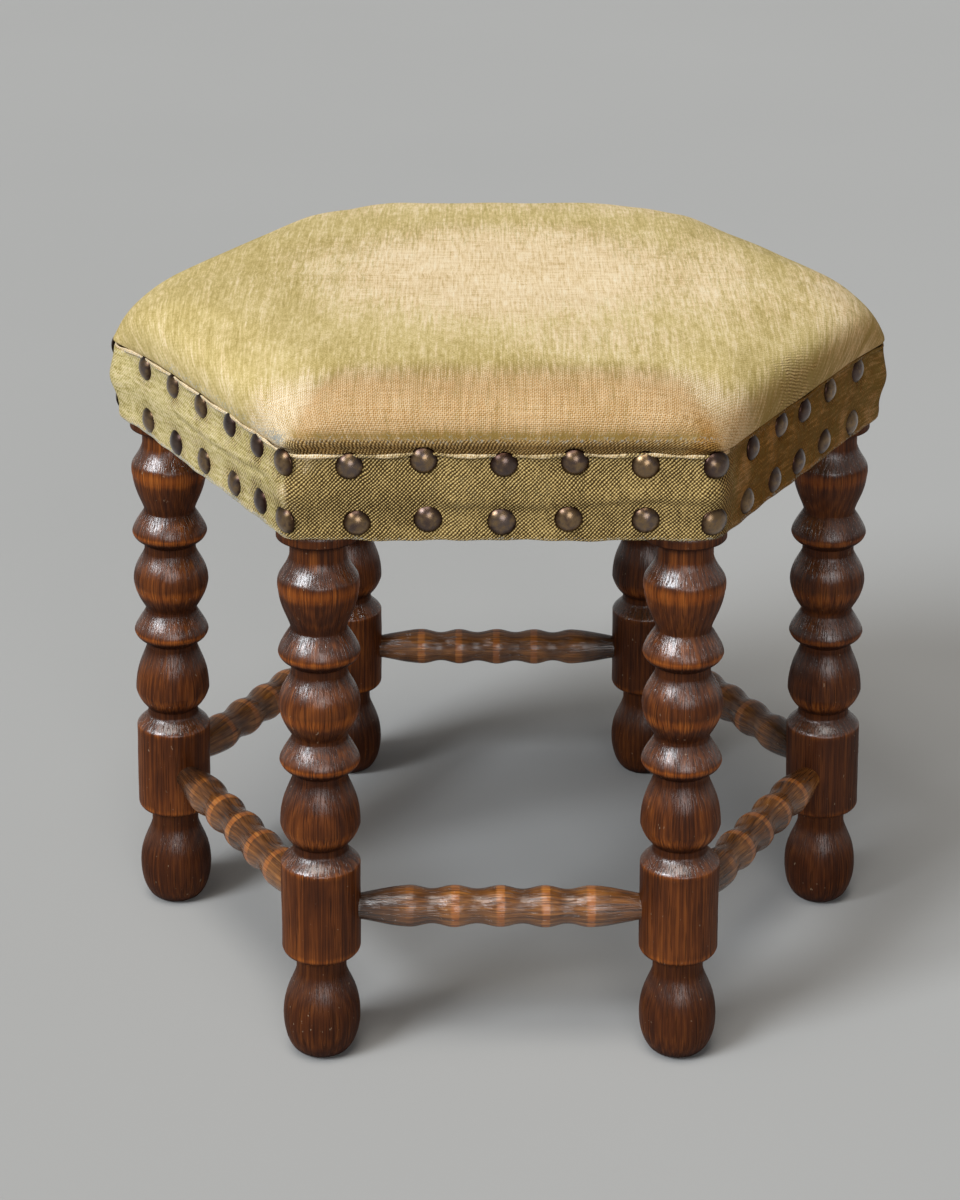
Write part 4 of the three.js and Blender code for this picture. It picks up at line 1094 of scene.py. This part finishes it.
def plainClothFinish(name, look):
    material, tree, shader = newFinish(name, look["roughness"], look["sheen"])
    place = reading(tree, "clothPlace", True)
    cell = math.pi / (look["threadPitch"] * mm)
    parts = put(tree, "ShaderNodeSeparateXYZ", {0: stretched(tree, place, (cell, cell, cell))}).outputs
    weave = sums(tree, "MULTIPLY", sums(tree, "COSINE", parts[0]), sums(tree, "COSINE", parts[1]))
    slubs = grain(tree, place, look["slubScales"], 3, 0.6)
    tufts = grain(tree, place, (420, 420, 420), 3, 0.65)
    tone = sums(tree, "MULTIPLY_ADD", weave, look["weaveShare"], sums(tree, "MULTIPLY", slubs, 0.6))
    tone = sums(tree, "MULTIPLY_ADD", tufts, 0.5, tone)
    colour = graded(tree, tone, look["tones"])
    if look.get("stripeHalf"):
        away = sums(tree, "ABSOLUTE", put(tree, "ShaderNodeSeparateXYZ", {0: place}).outputs[1])
        near = sums(tree, "ABSOLUTE", sums(tree, "SUBTRACT", away, look["stripeHalf"] * mm))
        stripe = sums(tree, "SUBTRACT", 1.0, fitted(tree, near, 0.9 * mm, 1.5 * mm))
        colour = blended(tree, sums(tree, "MULTIPLY", stripe, 0.7), colour, look["stripeColour"])
    wired(tree, shader, "Base Color", colour)
    relief = sums(tree, "MULTIPLY_ADD", weave, look["weaveShare"] * 2, sums(tree, "MULTIPLY", tufts, 0.8))
    wired(tree, shader, "Normal", raised(tree, relief, look["reliefDepth"] * mm))
    return material


padLook = {
    "cotton": {"roughness": 0.95, "sheen": 0.1, "threadPitch": 4.0, "weaveShare": 0.0, "slubScales": (60, 60, 60),
               "reliefDepth": 0.8, "tones": [(0.3, (0.62, 0.58, 0.49)), (0.6, (0.80, 0.77, 0.69)),
                                             (0.8, (0.88, 0.86, 0.80))]},
    "hair": {"roughness": 0.85, "sheen": 0.05, "threadPitch": 4.0, "weaveShare": 0.0, "slubScales": (120, 900, 120),
             "reliefDepth": 1.2, "tones": [(0.3, (0.02, 0.013, 0.008)), (0.6, (0.10, 0.066, 0.04)),
                                           (0.85, (0.24, 0.17, 0.11))]},
    "hessian": {"roughness": 0.95, "sheen": 0.05, "threadPitch": 1.9, "weaveShare": 0.22,
                "slubScales": (520, 30, 60), "reliefDepth": 0.35,
                "tones": [(0.25, (0.12, 0.075, 0.030)), (0.55, (0.36, 0.25, 0.12)), (0.85, (0.52, 0.39, 0.21))]},
    "webbing": {"roughness": 0.95, "sheen": 0.05, "threadPitch": 1.5, "weaveShare": 0.20,
                "slubScales": (30, 640, 60), "reliefDepth": 0.35, "stripeHalf": 17.0,
                "stripeColour": (0.16, 0.035, 0.022),
                "tones": [(0.25, (0.17, 0.11, 0.05)), (0.55, (0.42, 0.31, 0.16)), (0.85, (0.58, 0.46, 0.27))]},
}


def restedOn(points, level, bottomCount):
    free = len(points) - bottomCount
    points[:free, 2] = np.maximum(points[:free, 2], level + 0.6)
    points[free:, 2] = level


def makePads():
    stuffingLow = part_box("stuffing")[0].z / mm
    apothem, rounding = seat["bandApothem"] - seat["grooveDepth"], seat["cornerRound"]
    groove = bandTop + seat["grooveHeight"]
    walls = [(apothem + 1.7, rounding, groove + 2.6), (apothem, rounding, groove), (apothem, rounding, stuffingLow)]
    hair = plainClothFinish("HairStuffing", padLook["hair"])
    points, faces, shares, laps, rim = paddedSkin(26, 6.0, walls, True)
    lowered(points, np.concatenate([laps, *[laps[rim]] * len(walls), [0.0]]))
    points[:, 2] += bumpy(points * mm, 0.02, 4.0) * 0.7 * (points[:, 2] > groove)
    restedOn(points, stuffingLow, len(rim) + 1)
    pad = newPiece("hair_stuffing_pad", points * mm, faces, hair, ["stuffing"])
    keepValues(pad, "clothPlace", points * mm)
    cotton = plainClothFinish("CottonWadding", padLook["cotton"])
    points, faces, shares, laps, rim = paddedSkin(30, 3.1, walls, False)
    lowered(points, np.concatenate([laps, *[laps[rim]] * len(walls)]))
    points[:, 2] += bumpy(points * mm, 0.03, 6.0) * 0.3 * (points[:, 2] > groove)
    restedOn(points, stuffingLow, len(rim))
    layer = newPiece("cotton_wadding_pad", points * mm, faces, cotton, ["wadding"])
    keepValues(layer, "clothPlace", points * mm)
    shell = layer.modifiers.new("shell", "SOLIDIFY")
    shell.thickness = 2.2 * mm
    shell.offset = -1
    settled(layer)


makePads()


def slabPiece(name, across, along, heights, thickness, finish, node, place):
    rows, columns = heights.shape
    grid = np.stack([across, along, heights], -1).reshape(-1, 3)
    count = rows * columns
    upper, lower = grid + np.array((0, 0, thickness / 2)), grid - np.array((0, 0, thickness / 2))
    faces = []
    for i in range(rows - 1):
        for j in range(columns - 1):
            a, b, c, d = i * columns + j, i * columns + j + 1, (i + 1) * columns + j + 1, (i + 1) * columns + j
            faces.append((a, b, c, d))
            faces.append((d + count, c + count, b + count, a + count))
    border = [j for j in range(columns)] + [i * columns + columns - 1 for i in range(1, rows)] \
        + [(rows - 1) * columns + j for j in range(columns - 2, -1, -1)] + [i * columns for i in range(rows - 2, 0, -1)]
    for i, a in enumerate(border):
        b = border[(i + 1) % len(border)]
        faces.append((b, a, a + count, b + count))
    piece = newPiece(name, np.vstack([upper, lower]) * mm, faces, finish, [node], True)
    keepValues(piece, "clothPlace", np.vstack([place, place]) * mm)
    return piece


webbing = {"width": 50.0, "thickness": 1.8, "pitch": 60.0, "over": 1.15, "settle": 30.0, "inset": 9.2}


def makeWebbing():
    jute = plainClothFinish("JuteWebbing", padLook["webbing"])
    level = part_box("webbing_across_middle")
    middle = (level[0].z + level[1].z) / 2 / mm
    half = webbing["width"] / 2
    for direction, names in (("across", ("front", "middle", "back")), ("along", ("right", "middle", "left"))):
        for lane, name in enumerate(names):
            node = f"webbing_{direction}_{name}"
            low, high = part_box(node)
            turned = direction == "along"
            offset = (lane - 1) * webbing["pitch"] * (-1 if turned else 1)
            reach = (high.x if not turned else high.y) / mm - 0.4
            startsOver = (lane % 2 == 0) != turned
            runs = np.linspace(-1, 1, 121)
            sides = np.linspace(-half, half, 13)
            signs = [1 if (k % 2 == 0) == startsOver else -1 for k in range(3)]
            at = [-400, -85 - webbing["settle"]] + [v for k in range(3) for v in (k * 60 - 60 - 22, k * 60 - 60 + 22)] \
                + [85 + webbing["settle"], 400]
            values = [0, 0] + [s * webbing["over"] for s in signs for _ in (0, 1)] + [0, 0]
            grid = np.zeros((len(runs), len(sides), 3))
            for j, s in enumerate(sides):
                edge = offset + s if not turned else -(offset) - s
                limit = (170.28 - webbing["inset"] - 0.3)
                cut = limit if turned else min(2 * limit / math.sqrt(3) * 0.985, (2 * limit - abs(edge)) / math.sqrt(3))
                if turned:
                    cut = min(limit, 2 * limit - math.sqrt(3) * abs(edge)) if abs(edge) > 0 else limit
                cut = min(cut, reach)
                run = runs * cut
                height = np.interp(run, at, values) + 0.12 * np.sin(run / 9 + lane * 2 + s / 14)
                grid[:, j] = np.stack([run, np.full(len(run), s), middle + height], -1)
            x = grid[:, :, 0] if not turned else -(grid[:, :, 1] * 1.0) - offset * -1.0
            if turned:
                x, y = -grid[:, :, 1] + offset, grid[:, :, 0]
            else:
                y = grid[:, :, 1] + offset
            place = np.stack([grid[:, :, 0], grid[:, :, 1], np.full(grid.shape[:2], lane * 90.0 + 400 * turned)], -1)
            piece = slabPiece(f"jute_webbing_{direction}_{name}", x, y, grid[:, :, 2], webbing["thickness"], jute,
                              node, place.reshape(-1, 3))


makeWebbing()


def makeHessian():
    low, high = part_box("hessian")
    finish = plainClothFinish("HessianCloth", padLook["hessian"])
    steps = 44
    shares, laps, faces, rim = seatGrid(steps)
    apothem = 170.28 - 2.4
    x, y, _ = hexPlace(shares * apothem, np.minimum(13.0, shares * apothem * 0.9), laps)
    level = (low.z + high.z) / 2 / mm
    points = np.stack([x, y, np.full(len(x), level)], -1)
    piece = newPiece("hessian_sheet", points * mm, faces, finish, ["hessian"])
    keepValues(piece, "clothPlace", points * mm)
    shell = piece.modifiers.new("shell", "SOLIDIFY")
    shell.thickness = 0.6 * mm
    shell.offset = 0
    settled(piece)


makeHessian()
print("padding, webbing and hessian in place")


def railFinish(name, turn):
    material, tree, shader = newFinish(name, 0.6)
    place = put(tree, "ShaderNodeTexCoord", {}).outputs["Object"]
    node = put(tree, "ShaderNodeMapping", {"Vector": place, "Rotation": (0, 0, -turn)})
    place = node.outputs[0]
    fibres = grain(tree, place, (900, 22, 900), 3, 0.6)
    figure = grain(tree, place, (150, 6, 60), 2, 0.5, 0.6)
    darkening = grain(tree, place, (24, 24, 24), 3, 0.6)
    tone = sums(tree, "MULTIPLY_ADD", fibres, 0.4, sums(tree, "MULTIPLY", figure, 0.6))
    colour = graded(tree, tone, [(0.3, (0.22, 0.125, 0.052)), (0.52, (0.40, 0.26, 0.125)), (0.75, (0.55, 0.40, 0.22))])
    colour = blended(tree, fitted(tree, darkening, 0.5, 0.75, 0.0, 0.55), colour, (0.13, 0.075, 0.035))
    wired(tree, shader, "Base Color", colour)
    wired(tree, shader, "Roughness", sums(tree, "MULTIPLY_ADD", darkening, 0.25, 0.48))
    wired(tree, shader, "Normal", raised(tree, sums(tree, "ADD", fibres, figure), 0.12 * mm))
    return material


for i, name in enumerate(sideNames[:3]):
    finish = railFinish(f"RailWood_{name}", halfSide + i * sideAngle)
    for other in (name, sideNames[i + 3]):
        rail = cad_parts[f"seat_rail_{other}"]
        for slot in rail.material_slots:
            slot.material = finish
print("rails finished")


# Room, light and camera

room = {
    "floorColour": (0.45, 0.445, 0.435), "floorRadius": 60.0, "ambient": 0.08, "backdrop": (0.26, 0.258, 0.255),
    # azimuth from the front, height above the floor and apparent width in degrees, and strength
    "window": {"azimuth": -52, "elevation": 39, "width": 22, "strength": 2.15, "colour": (0.885, 0.945, 1.0)},
    "sky": {"azimuth": -24, "elevation": 72, "width": 36, "strength": 1.45, "colour": (1.0, 0.98, 0.935)},
    "fill": {"azimuth": 8, "elevation": 18, "width": 28, "strength": 0.7, "colour": (0.97, 0.98, 1.0)},
}


def makeLight(name, look):
    lamp = bpy.data.lights.new(name, "SUN")
    lamp.angle = math.radians(look["width"])
    lamp.energy = look["strength"]
    lamp.color = look["colour"]
    light = bpy.data.objects.new(name, lamp)
    azimuth, elevation = math.radians(look["azimuth"]), math.radians(look["elevation"])
    away = Vector((math.sin(azimuth) * math.cos(elevation), -math.cos(azimuth) * math.cos(elevation),
                   math.sin(elevation)))
    light.location = away * 2
    light.rotation_euler = (-away).to_track_quat("-Z", "Y").to_euler()
    bpy.context.scene.collection.objects.link(light)


def makeRoom():
    material, tree, shader = newFinish("Floor", 0.8)
    below = put(tree, "ShaderNodeNewGeometry", {}).outputs["Backfacing"]
    clear = put(tree, "ShaderNodeBsdfTransparent", {}).outputs[0]
    sides = put(tree, "ShaderNodeMixShader", {0: below, 1: shader.outputs[0], 2: clear})
    tree.links.new(sides.outputs[0], tree.nodes["Material Output"].inputs["Surface"])
    place = put(tree, "ShaderNodeTexCoord", {}).outputs["Object"]
    cloudy = grain(tree, place, (1.3, 1.3, 1.3), 3, 0.5)
    low, high = (tuple(c * f for c in room["floorColour"]) for f in (0.985, 1.015))
    wired(tree, shader, "Base Color", graded(tree, cloudy, [(0.3, low), (0.7, high)]))
    shader.inputs["Specular IOR Level"].default_value = 0.2
    angles = np.arange(64) * 2 * math.pi / 64
    ring = [(room["floorRadius"] * math.cos(a), room["floorRadius"] * math.sin(a), 0) for a in angles]
    mesh = bpy.data.meshes.new("floor")
    mesh.from_pydata(ring, [], [tuple(range(64))])
    mesh.materials.append(material)
    floor = bpy.data.objects.new("floor", mesh)
    bpy.context.scene.collection.objects.link(floor)
    world = bpy.data.worlds.new("Room")
    bpy.context.scene.world = world
    world.use_nodes = True
    tree = world.node_tree
    tree.nodes.clear()
    around = put(tree, "ShaderNodeBackground", {"Color": (1, 1, 1, 1), "Strength": room["ambient"]})
    seen = put(tree, "ShaderNodeBackground", {"Color": (*room["backdrop"], 1), "Strength": 1.0})
    rays = put(tree, "ShaderNodeLightPath", {}).outputs
    direct = sums(tree, "MAXIMUM", rays["Is Camera Ray"], rays["Is Glossy Ray"])
    direct = sums(tree, "MAXIMUM", direct, rays["Is Transmission Ray"])
    mix = put(tree, "ShaderNodeMixShader", {0: direct, 1: around.outputs[0], 2: seen.outputs[0]})
    put(tree, "ShaderNodeOutputWorld", {"Surface": mix.outputs[0]})
    for name in ("window", "sky", "fill"):
        makeLight(name, room[name])


makeRoom()

view = {
    "place": (-10.54, -1347.36, 776.58), "lens": 81.34, "down": 23.81, "yaw": 0.010, "roll": -0.084,
}


def makeCamera():
    camera = bpy.data.cameras.new("camera")
    camera.lens = view["lens"]
    camera.sensor_width = 36.0
    camera.clip_start, camera.clip_end = 0.05, 60
    seer = bpy.data.objects.new("camera", camera)
    turn = (Matrix.Rotation(math.radians(-view["yaw"]), 4, "Z")
            @ Matrix.Rotation(math.radians(90 - view["down"]), 4, "X")
            @ Matrix.Rotation(math.radians(-view["roll"]), 4, "Z"))
    seer.matrix_world = Matrix.Translation([v * mm for v in view["place"]]) @ turn
    bpy.context.scene.collection.objects.link(seer)
    bpy.context.scene.camera = seer


makeCamera()
bpy.context.scene.view_settings.view_transform = "Standard"
print("room, lights and camera set")
